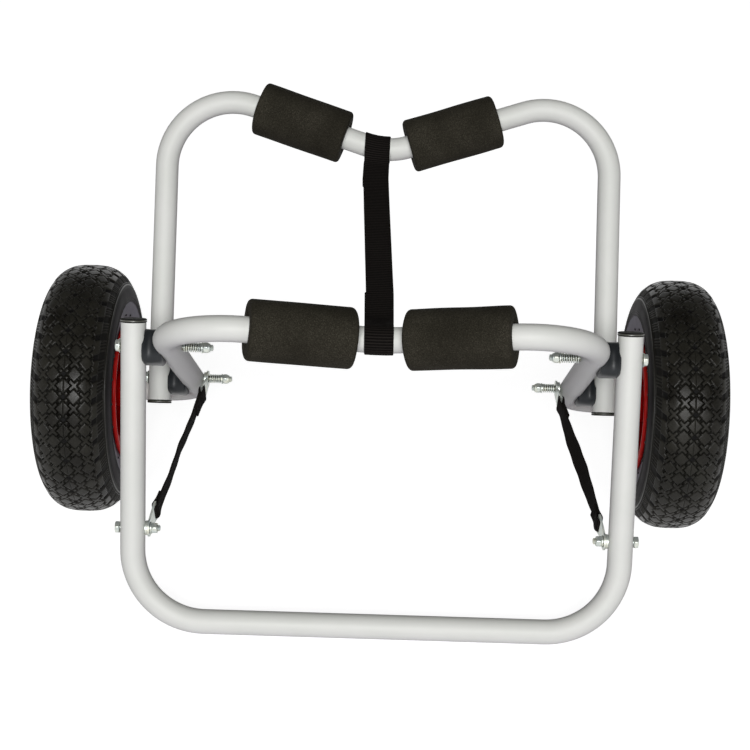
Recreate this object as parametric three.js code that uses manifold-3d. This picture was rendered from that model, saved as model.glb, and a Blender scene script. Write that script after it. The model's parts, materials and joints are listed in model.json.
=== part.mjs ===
// A folding two-wheeled kayak cart. A bent tube main frame carries the axles and the front cradle,
// and a kickstand and a rear cradle hinge on its legs with sprung bolts. Webbing straps set how far
// each one opens. Everything is in millimetres, +Z up, the kickstand side toward -Y.
import * as THREE from 'three';
import { mergeVertices } from 'three/addons/utils/BufferGeometryUtils.js';
import Module from 'manifold-3d';

const wasm = await Module();
wasm.setup();

// Driving dimensions of the cart
const wheelDiameter = 253.7;
const beadRadius = 50.8;
const tyreWidth = 78;
const hubStandoff = 48.8;
const tubeDiameter = 22.2;
const tubeWall = 1.5;
const bendRadius = 60;
const armBendRadius = 64.5;
const lowerBendRadius = 38;
const frontVeeAngle = 14.5;
const rearVeeAngle = 17.9;
const mainSlope = 34.4;
const mainLength = 296.8;
const mainHalfWidth = 185.2;
const standPivotDrop = 79.6;
const standSlope = 74;
const strapBoltRise = 20.3;
const cradlePivotUp = 69.8;
const cradleReach = 272.9;
const cradleSlope = 64.9;
const tubeTail = 23;
const saddleWeb = 9.8;
const padDiameter = 52;
const padLength = 90;
const frontPadOut = 66.8;
const rearLeftPadOut = 84.9;
const rearRightPadOut = 63.1;
const strapWidth = 25;
const boltDiameter = 6;
const axleDiameter = 12;
const axleShankLength = 22;

// How finely the round pieces are faceted
const tubeSides = 16;
const boreSides = 8;
const bendSteps = 5;
const treadPitches = 36;
const rimSegments = 16;
const bearingSegments = 12;
const padSegments = 16;
const boltSides = 10;
const saddleSides = 12;

// Clearances
const seatGap = 0.3;
const shankGap = 1;
const overrun = 2;
const weld = 1e-4;

// Sizes that follow from the ones above
const tubeRadius = tubeDiameter / 2;
const boreRadius = tubeRadius - tubeWall;
const wheelRadius = wheelDiameter / 2;
const axleTubeEnd = mainHalfWidth + lowerBendRadius + axleShankLength + shankGap;
const wheelX = axleTubeEnd + hubStandoff;
const armHalfWidth = mainHalfWidth + tubeDiameter + saddleWeb;
const boltRadius = boltDiameter / 2;
const boltHoleRadius = boltRadius + seatGap;
const tyreHeight = wheelRadius - beadRadius;
const treadRowShares = [[0, 1], [0.26, 0.994], [0.52, 0.965], [0.76, 0.885]];
const axleHeight = beadRadius + treadRowShares[1][1] * tyreHeight;
const barHeight = tubeRadius * Math.cos(Math.PI / tubeSides);
const standPivotUp = mainLength - standPivotDrop;
const standPivotHeight = axleHeight + standPivotUp * Math.sin(radians(mainSlope));
const standReach = (standPivotHeight - barHeight) / Math.sin(radians(standSlope));
const standBoltDown = standReach - armBendRadius - strapBoltRise;

function radians(angle) {
  return THREE.MathUtils.degToRad(angle);
}

// Materials
function finish(color, roughness, metalness) {
  return () => new THREE.MeshStandardMaterial({ color, roughness, metalness });
}

const satinAluminium = finish(0xd9dad6, 0.38, 0.9);
const zincSteel = finish(0xb9bdbe, 0.32, 1);
const blackPlastic = finish(0x1b1c1f, 0.55, 0);
const blackFoam = finish(0x1d1d1b, 0.95, 0);
const blackWebbing = finish(0x141416, 0.9, 0);
const blackRubber = finish(0x22221f, 0.8, 0);
const greyRubber = finish(0x3a3a3d, 0.85, 0);
const redPaint = finish(0xb3100c, 0.4, 0);

// Solids: a closed geometry becomes a solid for cutting, and goes back to a geometry
function solidOf(geometry) {
  const bare = geometry.clone();
  bare.deleteAttribute('normal');
  bare.deleteAttribute('uv');
  const merged = mergeVertices(bare, weld);
  return new wasm.Manifold(new wasm.Mesh({
    numProp: 3,
    vertProperties: merged.attributes.position.array,
    triVerts: new Uint32Array(merged.index.array),
  }));
}

function geometryOf(solid) {
  const mesh = solid.getMesh();
  const geometry = new THREE.BufferGeometry();
  geometry.setAttribute('position', new THREE.BufferAttribute(mesh.vertProperties, 3));
  geometry.setIndex(new THREE.BufferAttribute(mesh.triVerts, 1));
  geometry.computeVertexNormals();
  return geometry;
}

function cut(body, ...tools) {
  return geometryOf(tools.reduce((solid, tool) => solid.subtract(solidOf(tool)), solidOf(body)));
}

function join(...parts) {
  const [first, ...others] = parts.map(solidOf);
  return geometryOf(others.reduce((solid, other) => solid.add(other), first));
}

// Round and six-sided bars that lie along X from one place to another
function barAlongX(radius, from, to, sides) {
  const bar = new THREE.CylinderGeometry(radius, radius, Math.abs(to - from), sides);
  bar.rotateZ(Math.PI / 2);
  return bar.translate((from + to) / 2, 0, 0);
}

function hexAlongX(acrossFlats, from, to) {
  return barAlongX(acrossFlats / Math.sqrt(3), from, to, 6);
}

// A profile of [distance along X, radius] points turned about the X axis
function turnedAlongX(profile, segments) {
  const outline = profile.map(([along, radius]) => new THREE.Vector2(radius, along));
  const turned = new THREE.LatheGeometry(outline, segments);
  return turned.rotateZ(-Math.PI / 2);
}

function ringAlongX(outerRadius, innerRadius, from, to, segments) {
  const outline = [
    [from, innerRadius], [from, outerRadius], [to, outerRadius], [to, innerRadius], [from, innerRadius],
  ];
  return turnedAlongX(outline, segments);
}

// A polygon of the tube's section, with one of its flats facing the given angle
function roundShape(radius, sides, flatAngle = 0) {
  const points = [];
  for (let i = 0; i < sides; i++) {
    const angle = radians(flatAngle) + (2 * Math.PI * (i + 0.5)) / sides;
    points.push(new THREE.Vector2(radius * Math.cos(angle), radius * Math.sin(angle)));
  }
  return new THREE.Shape(points);
}

// A route through chosen stations. It counts them evenly, so the straights need no steps of their own.
class StationRoute extends THREE.Curve {
  constructor(stations) {
    super();
    this.stations = stations;
  }

  getPoint(t, target = new THREE.Vector3()) {
    const last = this.stations.length - 1;
    const place = THREE.MathUtils.clamp(t, 0, 1) * last;
    const index = Math.min(Math.floor(place), last - 1);
    return target.lerpVectors(this.stations[index], this.stations[index + 1], place - index);
  }

  getPointAt(u, target) {
    return this.getPoint(u, target);
  }

  getTangentAt(u, target = new THREE.Vector3()) {
    const last = this.stations.length - 1;
    const index = Math.round(THREE.MathUtils.clamp(u, 0, 1) * last);
    const here = this.stations[index];
    const ahead = this.stations[Math.min(index + 1, last)].clone().sub(here).normalize();
    const behind = here.clone().sub(this.stations[Math.max(index - 1, 0)]).normalize();
    return target.copy(ahead).add(behind).normalize();
  }
}

// Stations along a flat route of corners [x, y, radius], each corner rounded to its radius
function bentStations(corners, startShift = 0) {
  const points = corners.map(([x, y]) => new THREE.Vector3(x, y, 0));
  const last = corners.length - 1;
  const shift = (end, next) => end.clone().add(end.clone().sub(next).setLength(startShift));
  const stations = [startShift ? shift(points[0], points[1]) : points[0]];
  for (let i = 1; i < last; i++) {
    const back = points[i - 1].clone().sub(points[i]).normalize();
    const on = points[i + 1].clone().sub(points[i]).normalize();
    const half = back.angleTo(on) / 2;
    const radius = corners[i][2];
    const centre = points[i].clone().add(back.clone().add(on).setLength(radius / Math.sin(half)));
    const from = points[i].clone().add(back.clone().multiplyScalar(radius / Math.tan(half))).sub(centre);
    const turn = (Math.PI - 2 * half) * Math.sign(back.clone().cross(on).z) * -1;
    for (let k = 0; k <= bendSteps; k++) {
      const arm = from.clone().applyAxisAngle(new THREE.Vector3(0, 0, 1), (turn * k) / bendSteps);
      stations.push(centre.clone().add(arm));
    }
  }
  stations.push(startShift ? shift(points[last], points[last - 1]) : points[last]);
  return stations;
}

// A hollow tube bent along the corners, its bore open at both ends
function bentTube(corners, flatAngle = 0) {
  const sweep = (radius, sides, shift) => {
    const stations = bentStations(corners, shift);
    return new THREE.ExtrudeGeometry(roundShape(radius, sides, flatAngle), {
      steps: stations.length - 1,
      extrudePath: new StationRoute(stations),
    });
  };
  return cut(sweep(tubeRadius, tubeSides, 0), sweep(boreRadius, boreSides, overrun));
}

// A cradle's vee: how steep it is, how far its rounded corners stand inside the sharp ones, and the
// height of its sharp bottom corner where its shoulders reach the given length
function vee(angle, radius, shoulderUp, halfWidth) {
  const slope = Math.tan(radians(angle));
  const round = radius * (1 / Math.cos(radians(angle)) - 1);
  return { angle, slope, round, bottom: shoulderUp - (halfWidth - radius) * slope + round };
}

// The object's groups: each frame lies in its own XY plane and is turned about X into place
const cart = new THREE.Group();
const mainGroup = new THREE.Group();
mainGroup.position.set(0, 0, axleHeight);
mainGroup.rotation.x = Math.PI - radians(mainSlope);
const standGroup = new THREE.Group();
standGroup.position.set(0, -standPivotUp * Math.cos(radians(mainSlope)), standPivotHeight);
standGroup.rotation.x = radians(standSlope);
const cradleGroup = new THREE.Group();
cradleGroup.position.set(
  0,
  -cradlePivotUp * Math.cos(radians(mainSlope)),
  axleHeight + cradlePivotUp * Math.sin(radians(mainSlope)),
);
cradleGroup.rotation.x = radians(cradleSlope);
cart.add(mainGroup, standGroup, cradleGroup);

const sides = [['left', -1], ['right', 1]];

function place(group, name, geometry, material, position = [0, 0, 0]) {
  const mesh = new THREE.Mesh(geometry, material());
  mesh.name = name;
  mesh.position.set(...position);
  group.add(mesh);
  return mesh;
}

// The three bent tube frames
const mainVee = vee(frontVeeAngle, bendRadius, mainLength, mainHalfWidth);
const cradleVee = vee(rearVeeAngle, armBendRadius, cradleReach, armHalfWidth);

function crossHole(halfWidth, up, side) {
  const through = tubeRadius + overrun;
  const hole = barAlongX(boltHoleRadius, side * halfWidth - through, side * halfWidth + through, boltSides);
  return hole.translate(0, up, 0);
}

function mainFrame() {
  const tube = bentTube([
    [-axleTubeEnd, 0],
    [-mainHalfWidth, 0, lowerBendRadius],
    [-mainHalfWidth, mainVee.bottom + mainHalfWidth * mainVee.slope, bendRadius],
    [0, mainVee.bottom, bendRadius],
    [mainHalfWidth, mainVee.bottom + mainHalfWidth * mainVee.slope, bendRadius],
    [mainHalfWidth, 0, lowerBendRadius],
    [axleTubeEnd, 0],
  ]);
  const holes = sides.flatMap(([, side]) => [
    crossHole(mainHalfWidth, standPivotUp, side),
    crossHole(mainHalfWidth, cradlePivotUp, side),
  ]);
  return cut(tube, ...holes);
}

function kickstand() {
  const tube = bentTube([
    [-armHalfWidth, tubeTail],
    [-armHalfWidth, -standReach, armBendRadius],
    [armHalfWidth, -standReach, armBendRadius],
    [armHalfWidth, tubeTail],
  ], -standSlope);
  const holes = sides.flatMap(([, side]) => [
    crossHole(armHalfWidth, 0, side),
    crossHole(armHalfWidth, -standBoltDown, side),
  ]);
  return cut(tube, ...holes);
}

function rearCradle() {
  const tube = bentTube([
    [-armHalfWidth, -tubeTail],
    [-armHalfWidth, cradleVee.bottom + armHalfWidth * cradleVee.slope, armBendRadius],
    [0, cradleVee.bottom, armBendRadius],
    [armHalfWidth, cradleVee.bottom + armHalfWidth * cradleVee.slope, armBendRadius],
    [armHalfWidth, -tubeTail],
  ]);
  return cut(tube, ...sides.map(([, side]) => crossHole(armHalfWidth, 0, side)));
}

place(mainGroup, 'main_frame', mainFrame(), satinAluminium);
place(standGroup, 'kickstand', kickstand(), satinAluminium);
place(cradleGroup, 'rear_cradle', rearCradle(), satinAluminium);

// Plastic end caps: a rounded flange on the tube's end and a plug in its bore
const capFlange = 3;
const capRound = 1;
const plugLength = 13;

function endCap() {
  const plugRadius = boreRadius * Math.cos(Math.PI / boreSides) - seatGap;
  const outline = [
    [-plugLength, 0], [-plugLength, plugRadius], [seatGap, plugRadius], [seatGap, tubeRadius],
    [seatGap + capFlange - capRound, tubeRadius], [seatGap + capFlange, tubeRadius - capRound],
    [seatGap + capFlange, 0],
  ];
  return turnedAlongX(outline, tubeSides);
}

for (const [label, side] of sides) {
  const standCap = place(standGroup, `kickstand_cap_${label}`, endCap(), blackPlastic);
  standCap.position.set(side * armHalfWidth, tubeTail, 0);
  standCap.rotation.z = Math.PI / 2;
  const cradleCap = place(cradleGroup, `cradle_cap_${label}`, endCap(), blackPlastic);
  cradleCap.position.set(side * armHalfWidth, -tubeTail, 0);
  cradleCap.rotation.z = -Math.PI / 2;
}

// Foam pads: thick sleeves round the cradles' sloping tubes, with rounded rims
const padRimRound = 5;
const padRimShares = [[0, 1], [0.3, 0.3], [1, 0]];

function foamPad() {
  const half = padLength / 2;
  const radius = padDiameter / 2;
  const inner = tubeRadius + seatGap;
  const rim = padRimShares.map(([back, down]) => [half - padRimRound * back, radius - padRimRound * down]);
  const nearRim = rim.map(([along, up]) => [-along, up]);
  const outline = [[-half, inner], ...nearRim, ...rim.reverse(), [half, inner], [-half, inner]];
  const pad = turnedAlongX(outline, padSegments);
  return pad.rotateX(Math.PI / padSegments);
}

function placePads(group, prefix, { angle, slope, bottom }, ...outs) {
  for (const [i, [label, side]] of sides.entries()) {
    const pad = place(group, `${prefix}_pad_${label}`, foamPad(), blackFoam);
    pad.position.set(side * outs[i], bottom + outs[i] * slope, 0);
    pad.rotation.z = side * radians(angle);
  }
}

// The rear pads sit where they have slid to along the tube, the right one nearer the middle
placePads(mainGroup, 'front', mainVee, frontPadOut, frontPadOut);
placePads(cradleGroup, 'rear', cradleVee, rearLeftPadOut, rearRightPadOut);

// Saddle spacers between the crossing tubes at each hinge: a round-cornered block, scooped to seat on
// the main frame's leg on one side, and on the other cut clear of the arm wherever it turns
const saddleSize = 32;
const saddleCorner = 7;
const saddleGrip = 6.4;
const standFold = 54;
const cradleFold = 62;
const scoopSteps = 4;
const scoopLength = 2 * saddleSize;

function saddleBlock() {
  const half = saddleSize / 2;
  const outline = new THREE.Shape();
  outline.moveTo(half, -half + saddleCorner);
  outline.lineTo(half, half - saddleCorner);
  outline.absarc(half - saddleCorner, half - saddleCorner, saddleCorner, 0, Math.PI / 2);
  outline.absarc(-half + saddleCorner, half - saddleCorner, saddleCorner, Math.PI / 2, Math.PI);
  outline.absarc(-half + saddleCorner, -half + saddleCorner, saddleCorner, Math.PI, 1.5 * Math.PI);
  outline.absarc(half - saddleCorner, -half + saddleCorner, saddleCorner, 1.5 * Math.PI, 2 * Math.PI);
  const depth = saddleWeb + 2 * saddleGrip;
  const block = new THREE.ExtrudeGeometry(outline, { depth, bevelEnabled: false, curveSegments: 2 });
  block.translate(0, 0, -depth / 2);
  return block.rotateY(Math.PI / 2);
}

// The space that a tube on the given side of the saddle needs, its length turned from local Y
function tubeSpace(side, turn) {
  const radius = (tubeRadius + seatGap) / Math.cos(Math.PI / saddleSides);
  const space = new THREE.CylinderGeometry(radius, radius, scoopLength, saddleSides);
  space.rotateY(Math.PI / saddleSides);
  return space.rotateX(radians(turn)).translate(side * (tubeRadius + saddleWeb / 2), 0, 0);
}

function saddle(side, armTurn, fold) {
  const spaces = [tubeSpace(-side, 0)];
  for (let i = 0; i <= scoopSteps; i++) {
    spaces.push(tubeSpace(side, armTurn + (fold * i) / scoopSteps));
  }
  const hole = barAlongX(boltHoleRadius, -saddleSize, saddleSize, boltSides);
  return cut(saddleBlock(), ...spaces, hole);
}

const hinges = [
  { arm: 'stand', up: standPivotUp, turn: standSlope - 180 + mainSlope, fold: standFold },
  { arm: 'cradle', up: cradlePivotUp, turn: cradleSlope - 180 + mainSlope, fold: cradleFold },
];
const saddleX = mainHalfWidth + tubeRadius + saddleWeb / 2;

for (const { arm, up, turn, fold } of hinges) {
  for (const [label, side] of sides) {
    const block = saddle(side, turn, fold);
    place(mainGroup, `${arm}_saddle_${label}`, block, blackPlastic, [side * saddleX, up, 0]);
  }
}

// Hinge hardware, outside to inside: bolt head, arm, saddle, main leg, a strap's tab on the cradle's
// hinge, spring, washer and lock nut. Along X from the middle of the main leg, inward is negative.
const headFlats = 10;
const headHeight = 4;
const washerRadius = 6;
const washerThick = 1.2;
const nutHeight = 6;
const nutCollar = 1.4;
const nutCollarDiameter = 9;
const boltTip = 2.6;
const tabThick = 1.8;
const springWire = 1.3;
const springTurns = 7;
const springRoundSteps = 8;
const springWireSides = 4;
const springRadius = boltHoleRadius + springWire / 2;
const standSpringLength = 16.5;
const cradleSpringLength = 14.5;
const legInner = -tubeRadius - seatGap;
const armOuter = armHalfWidth - mainHalfWidth + tubeRadius + seatGap;

function bolt(innerEnd) {
  const head = hexAlongX(headFlats, armOuter, armOuter + headHeight);
  const shank = barAlongX(boltRadius, innerEnd, armOuter + headHeight / 2, boltSides);
  return join(head, shank);
}

// One unbroken wire from end to end, its turns evenly spaced
function spring(length) {
  const stations = [];
  const steps = springTurns * springRoundSteps;
  const travel = length - springWire;
  for (let i = 0; i <= steps; i++) {
    const angle = (2 * Math.PI * i) / springRoundSteps;
    stations.push(new THREE.Vector3(
      (travel * i) / steps, springRadius * Math.cos(angle), springRadius * Math.sin(angle),
    ));
  }
  return { wire: wireAlong(stations), gap: leastTurnGap(stations) };
}

// A closed wire of few-sided rings: each ring stands across the route, turned toward the coil's axis
function wireAlong(stations) {
  const route = new StationRoute(stations);
  const last = stations.length - 1;
  const positions = [];
  const triangles = [];
  for (let i = 0; i <= last; i++) {
    const tangent = route.getTangentAt(i / last);
    const outward = new THREE.Vector3(0, stations[i].y, stations[i].z).normalize();
    const across = tangent.clone().cross(outward).normalize();
    const up = across.clone().cross(tangent).normalize();
    for (let k = 0; k < springWireSides; k++) {
      const angle = (2 * Math.PI * k) / springWireSides;
      const point = stations[i].clone()
        .addScaledVector(up, (springWire / 2) * Math.cos(angle))
        .addScaledVector(across, (springWire / 2) * Math.sin(angle));
      positions.push(point.x, point.y, point.z);
    }
  }
  for (let i = 0; i < last; i++) {
    for (let k = 0; k < springWireSides; k++) {
      const a = i * springWireSides + k;
      const b = i * springWireSides + ((k + 1) % springWireSides);
      const c = a + springWireSides;
      const d = b + springWireSides;
      triangles.push(a, b, d, a, d, c);
    }
  }
  const end = last * springWireSides;
  for (let k = 1; k < springWireSides - 1; k++) {
    triangles.push(0, k + 1, k, end, end + k, end + k + 1);
  }
  const geometry = new THREE.BufferGeometry();
  geometry.setAttribute('position', new THREE.Float32BufferAttribute(positions, 3));
  geometry.setIndex(triangles);
  geometry.computeVertexNormals();
  return geometry;
}

// The least distance between points more than half a turn apart along the wire, less its thickness
function leastTurnGap(stations) {
  const halfTurn = springRoundSteps / 2;
  let least = Infinity;
  for (let i = 0; i < stations.length; i++) {
    for (let j = i + halfTurn + 1; j < stations.length; j++) {
      least = Math.min(least, stations[i].distanceTo(stations[j]));
    }
  }
  return least - springWire;
}

function washer() {
  return ringAlongX(washerRadius, boltHoleRadius, 0, washerThick, boltSides);
}

function lockNut() {
  const body = hexAlongX(headFlats, -nutHeight + nutCollar, 0);
  const collar = barAlongX(nutCollarDiameter / 2, -nutHeight, -nutHeight / 2, boltSides);
  const bore = barAlongX(boltHoleRadius, -nutHeight - overrun, overrun, boltSides);
  return cut(join(body, collar), bore);
}

// Each hinge's bolt, spring, washer and nut, placed along X from the middle of the main leg
function placeHardware(arm, up, springLength, behindLeg) {
  const springStart = legInner - behindLeg;
  const washerStart = springStart - springLength - seatGap;
  const nutStart = washerStart - washerThick - seatGap;
  const coil = spring(springLength);
  const coilStart = springStart - springLength + springWire / 2;
  console.log(`${arm} spring: least gap between turns ${coil.gap.toFixed(2)} mm`);
  for (const [label, side] of sides) {
    const stack = new THREE.Group();
    stack.position.set(side * mainHalfWidth, up, 0);
    stack.rotation.y = side < 0 ? Math.PI : 0;
    mainGroup.add(stack);
    place(stack, `${arm}_bolt_${label}`, bolt(nutStart - nutHeight - boltTip), zincSteel);
    place(stack, `${arm}_spring_${label}`, coil.wire, zincSteel, [coilStart, 0, 0]);
    place(stack, `${arm}_washer_${label}`, washer(), zincSteel, [washerStart - washerThick, 0, 0]);
    place(stack, `${arm}_nut_${label}`, lockNut(), zincSteel, [nutStart, 0, 0]);
  }
}

placeHardware('stand', standPivotUp, standSpringLength, 0);
placeHardware('cradle', cradlePivotUp, cradleSpringLength, tabThick + seatGap);

// Bolts through the kickstand's legs that hold the side straps' lower tabs
const standBoltInner = -tubeRadius - seatGap - tabThick - seatGap;

function flangeNut() {
  const flange = barAlongX(washerRadius, -washerThick, 0, boltSides);
  const body = hexAlongX(headFlats, -nutHeight, -washerThick / 2);
  return cut(join(flange, body), barAlongX(boltHoleRadius, -nutHeight - overrun, overrun, boltSides));
}

function standBolt() {
  const headStart = tubeRadius + seatGap;
  const head = hexAlongX(headFlats, headStart, headStart + headHeight);
  const inner = standBoltInner - nutHeight - boltTip;
  return join(head, barAlongX(boltRadius, inner, headStart + headHeight / 2, boltSides));
}

for (const [label, side] of sides) {
  const stack = new THREE.Group();
  stack.position.set(side * armHalfWidth, -standBoltDown, 0);
  stack.rotation.y = side < 0 ? Math.PI : 0;
  standGroup.add(stack);
  place(stack, `strap_bolt_${label}`, standBolt(), zincSteel);
  place(stack, `strap_nut_${label}`, flangeNut(), zincSteel, [standBoltInner, 0, 0]);
}

// Side straps: webbing between a tab on the cradle's hinge bolt and one on the kickstand's strap bolt
const tabRingRadius = 8;
const tabLength = 30;
const tabBend = 16;
const tabRim = 3;
const tabSlot = 4;
const sideStrapWidth = 18;
const webbing = 1.6;
const sideLap = 34;
const eyeGap = 0.5;
const tabCurveSteps = 6;

cart.updateMatrixWorld(true);
const hingeEye = mainGroup.localToWorld(
  new THREE.Vector3(mainHalfWidth + legInner - tabThick / 2, cradlePivotUp, 0),
);
const standEye = standGroup.localToWorld(
  new THREE.Vector3(armHalfWidth + legInner - tabThick / 2, -standBoltDown, 0),
);
const strapRun = standEye.clone().sub(hingeEye);
const strapFlat = Math.hypot(strapRun.y, strapRun.z);
const strapSpread = strapRun.x / (strapFlat - 2 * tabBend);

// A tab: a flat ring round its bolt, and a slotted arm that widens and leans sideways along the strap
function strapTab(lean) {
  const endHalf = sideStrapWidth / 2 + eyeGap + tabRim;
  const bendHalf = THREE.MathUtils.lerp(tabRingRadius, endHalf, tabBend / (tabLength - tabRim));
  const ring = new THREE.Shape();
  ring.absarc(0, 0, tabRingRadius, Math.PI, 2 * Math.PI);
  ring.lineTo(bendHalf, tabBend);
  ring.lineTo(-bendHalf, tabBend);
  const eye = new THREE.Path();
  eye.absarc(0, 0, boltHoleRadius, 0, 2 * Math.PI, true);
  ring.holes.push(eye);
  const arm = new THREE.Shape();
  arm.moveTo(-bendHalf, tabBend);
  arm.lineTo(bendHalf, tabBend);
  arm.lineTo(endHalf, tabLength - tabRim);
  arm.lineTo(endHalf - tabRim / 2, tabLength);
  arm.lineTo(-endHalf + tabRim / 2, tabLength);
  arm.lineTo(-endHalf, tabLength - tabRim);
  const slot = new THREE.Path();
  const slotHalf = endHalf - tabRim;
  slot.moveTo(-slotHalf, tabLength - tabRim - tabSlot);
  slot.lineTo(-slotHalf, tabLength - tabRim);
  slot.lineTo(slotHalf, tabLength - tabRim);
  slot.lineTo(slotHalf, tabLength - tabRim - tabSlot);
  arm.holes.push(slot);
  const plate = (shape) => {
    const settings = { depth: tabThick, bevelEnabled: false, curveSegments: tabCurveSteps };
    const flat = new THREE.ExtrudeGeometry(shape, settings);
    return flat.translate(0, 0, -tabThick / 2).rotateY(Math.PI / 2);
  };
  const armPlate = plate(arm);
  const points = armPlate.attributes.position;
  for (let i = 0; i < points.count; i++) {
    points.setX(i, points.getX(i) + (points.getY(i) - tabBend) * lean);
  }
  return join(plate(ring), armPlate);
}

// A strap seen edge on, its run along X: at each end it passes round a bar's oval space and is sewn
// back on itself for a stretch. The ovals' half sizes are along and across the run.
const eyeSteps = 8;
const eyeTipShare = 2.2;

function strapOutline(length, ovalAlong, ovalAcross, lap) {
  const tip = ovalAlong * eyeTipShare;
  const leave = Math.acos(1 / eyeTipShare);
  const around = (grow) => {
    const points = [];
    for (let i = 0; i <= eyeSteps; i++) {
      const angle = leave + ((2 * Math.PI - 2 * leave) * i) / eyeSteps;
      points.push([(ovalAlong + grow) * Math.cos(angle), (ovalAcross + grow) * Math.sin(angle)]);
    }
    return points;
  };
  const flip = (points) => points.map(([x, y]) => [length - x, -y]);
  const path = (points) => points.map(([x, y]) => new THREE.Vector2(x, y));
  const neck = tip + webbing;
  const half = [[lap, webbing / 2], [lap, webbing], [neck, webbing], ...around(webbing), [neck, -webbing]];
  const outline = new THREE.Shape(path([...half, ...flip(half)]));
  const hole = [...around(0), [tip, 0]];
  outline.holes.push(new THREE.Path(path(hole)), new THREE.Path(path(flip(hole))));
  return outline;
}

function strapSolid(outline, width) {
  const strap = new THREE.ExtrudeGeometry(outline, { depth: width, bevelEnabled: false, curveSegments: 1 });
  return strap.translate(0, 0, -width / 2);
}

// Turns a strap so that its run goes from one point to another, its face square to the given direction
function layStrap(mesh, from, to, faceHint) {
  const along = to.clone().sub(from).normalize();
  const wide = along.clone().cross(faceHint).normalize();
  const face = wide.clone().cross(along).normalize();
  mesh.quaternion.setFromRotationMatrix(new THREE.Matrix4().makeBasis(along, face, wide));
  mesh.position.copy(from);
}

// The oval round a tab's square end bar
const tabEye = [tabRim, tabThick].map((size) => (size / 2) * Math.SQRT2 + eyeGap);
const strapBarUp = tabLength - tabRim / 2;
const flatRun = new THREE.Vector3(0, strapRun.y, strapRun.z).normalize();
const upperBar = hingeEye.clone().addScaledVector(flatRun, strapBarUp);
const lowerBar = standEye.clone().addScaledVector(flatRun, -strapBarUp);
upperBar.x += (strapBarUp - tabBend) * strapSpread;
lowerBar.x -= (strapBarUp - tabBend) * strapSpread;
for (const [label, side] of sides) {
  const flipped = new THREE.Vector3(side, 1, 1);
  const upper = place(cart, `hinge_tab_${label}`, strapTab(side * strapSpread), zincSteel);
  upper.position.copy(hingeEye).multiply(flipped);
  upper.rotation.x = Math.atan2(flatRun.z, flatRun.y);
  const lower = place(cart, `strap_tab_${label}`, strapTab(-side * strapSpread), zincSteel);
  lower.position.copy(standEye).multiply(flipped);
  lower.rotation.x = Math.atan2(-flatRun.z, -flatRun.y);
  const from = upperBar.clone().multiply(flipped);
  const to = lowerBar.clone().multiply(flipped);
  const outline = strapOutline(from.distanceTo(to), ...tabEye, sideLap);
  const strap = place(cart, `side_strap_${label}`, strapSolid(outline, sideStrapWidth), blackWebbing);
  layStrap(strap, from, to, new THREE.Vector3(1, 0, 0));
}

// The centre strap: webbing looped round both cradles at the bottom of their vees
const centreLap = 62;
const barSag = bendRadius - Math.sqrt(bendRadius ** 2 - (strapWidth / 2) ** 2);
const centreEye = (tubeRadius + seatGap + barSag) / Math.cos(Math.PI / eyeSteps);
const frontBar = mainGroup.localToWorld(new THREE.Vector3(0, mainVee.bottom + mainVee.round, 0));
const rearBar = cradleGroup.localToWorld(new THREE.Vector3(0, cradleVee.bottom + cradleVee.round, 0));

const centreOutline = strapOutline(frontBar.distanceTo(rearBar), centreEye, centreEye, centreLap);
const centreStrap = place(cart, 'centre_strap', strapSolid(centreOutline, strapWidth), blackWebbing);
layStrap(centreStrap, frontBar, rearBar, new THREE.Vector3(0, 1, 0));

// Wheels: a pneumatic tyre and its inner tube on a two-part rim, turning on a fixed axle stub.
// Along X from the wheel's middle plane, outward is positive.
const tyreWall = 3.6;
const treadThick = 7;
const treadGroove = 1.8;
const beadWidth = 6;
const rimWall = 2.2;
const rimLipRadius = 62;
const hubRadius = 19;
const hubHalf = 36;
const bearingRadius = 14;
const bearingFlange = 17;
const bearingWidth = 10;
const flangeThick = 2;
const axleRadius = axleDiameter / 2;
const axleWasherRadius = 12;
const axleWasherThick = 2;
const axleNutFlats = 19;
const axleNutHeight = 11;
const axleNutCollar = 1.4;
const axleNutCollarDiameter = 17;
const axleCollar = 3;
const innerTubeSides = 6;
const innerTubeSegments = 12;
const innerTubeWall = 2;
const innerTubeSlack = 2.6;
const valveRadius = 3.8;
const valveOut = 14;
const valveLength = 22;
const valveBore = 1.6;

// The tyre's wall and inside, as shares of its half width and of its height above the bead
const tyreWallShares = [[0.96, 0.69], [1, 0.45], [0.925, 0.14]];
const tyreInsideShares = [[0.97, 0.64], [0.6, 0.95], [0, 1]];
const tyreHalf = tyreWidth / 2;
const beadOuter = tyreHalf * tyreWallShares[tyreWallShares.length - 1][0];

// The tyre is a closed skin of rings round X. The tread's rings carry a lattice of diamonds: their
// points alternate between the grooves' crossings, which lie low, and the diamonds' middles.
function tyre() {
  const ring = ([out, up], half, height) => ({ x: out * half, r: beadRadius + up * height, row: -1 });
  const tread = treadRowShares.map((share, row) => ({ ...ring(share, tyreHalf, tyreHeight), row }));
  const wall = tyreWallShares.map((share) => ring(share, tyreHalf, tyreHeight));
  const bead = [beadOuter, beadOuter - beadWidth].map((x) => ({ x, r: beadRadius, row: -1 }));
  const inside = tyreInsideShares.map((share) => ring(share, tyreHalf - tyreWall, tyreHeight - treadThick));
  const half = [...tread, ...wall, ...bead, ...inside];
  const other = half.slice(1, half.length - 1).map((one) => ({ ...one, x: -one.x })).reverse();
  return ringSkin([...half, ...other]);
}

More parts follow.
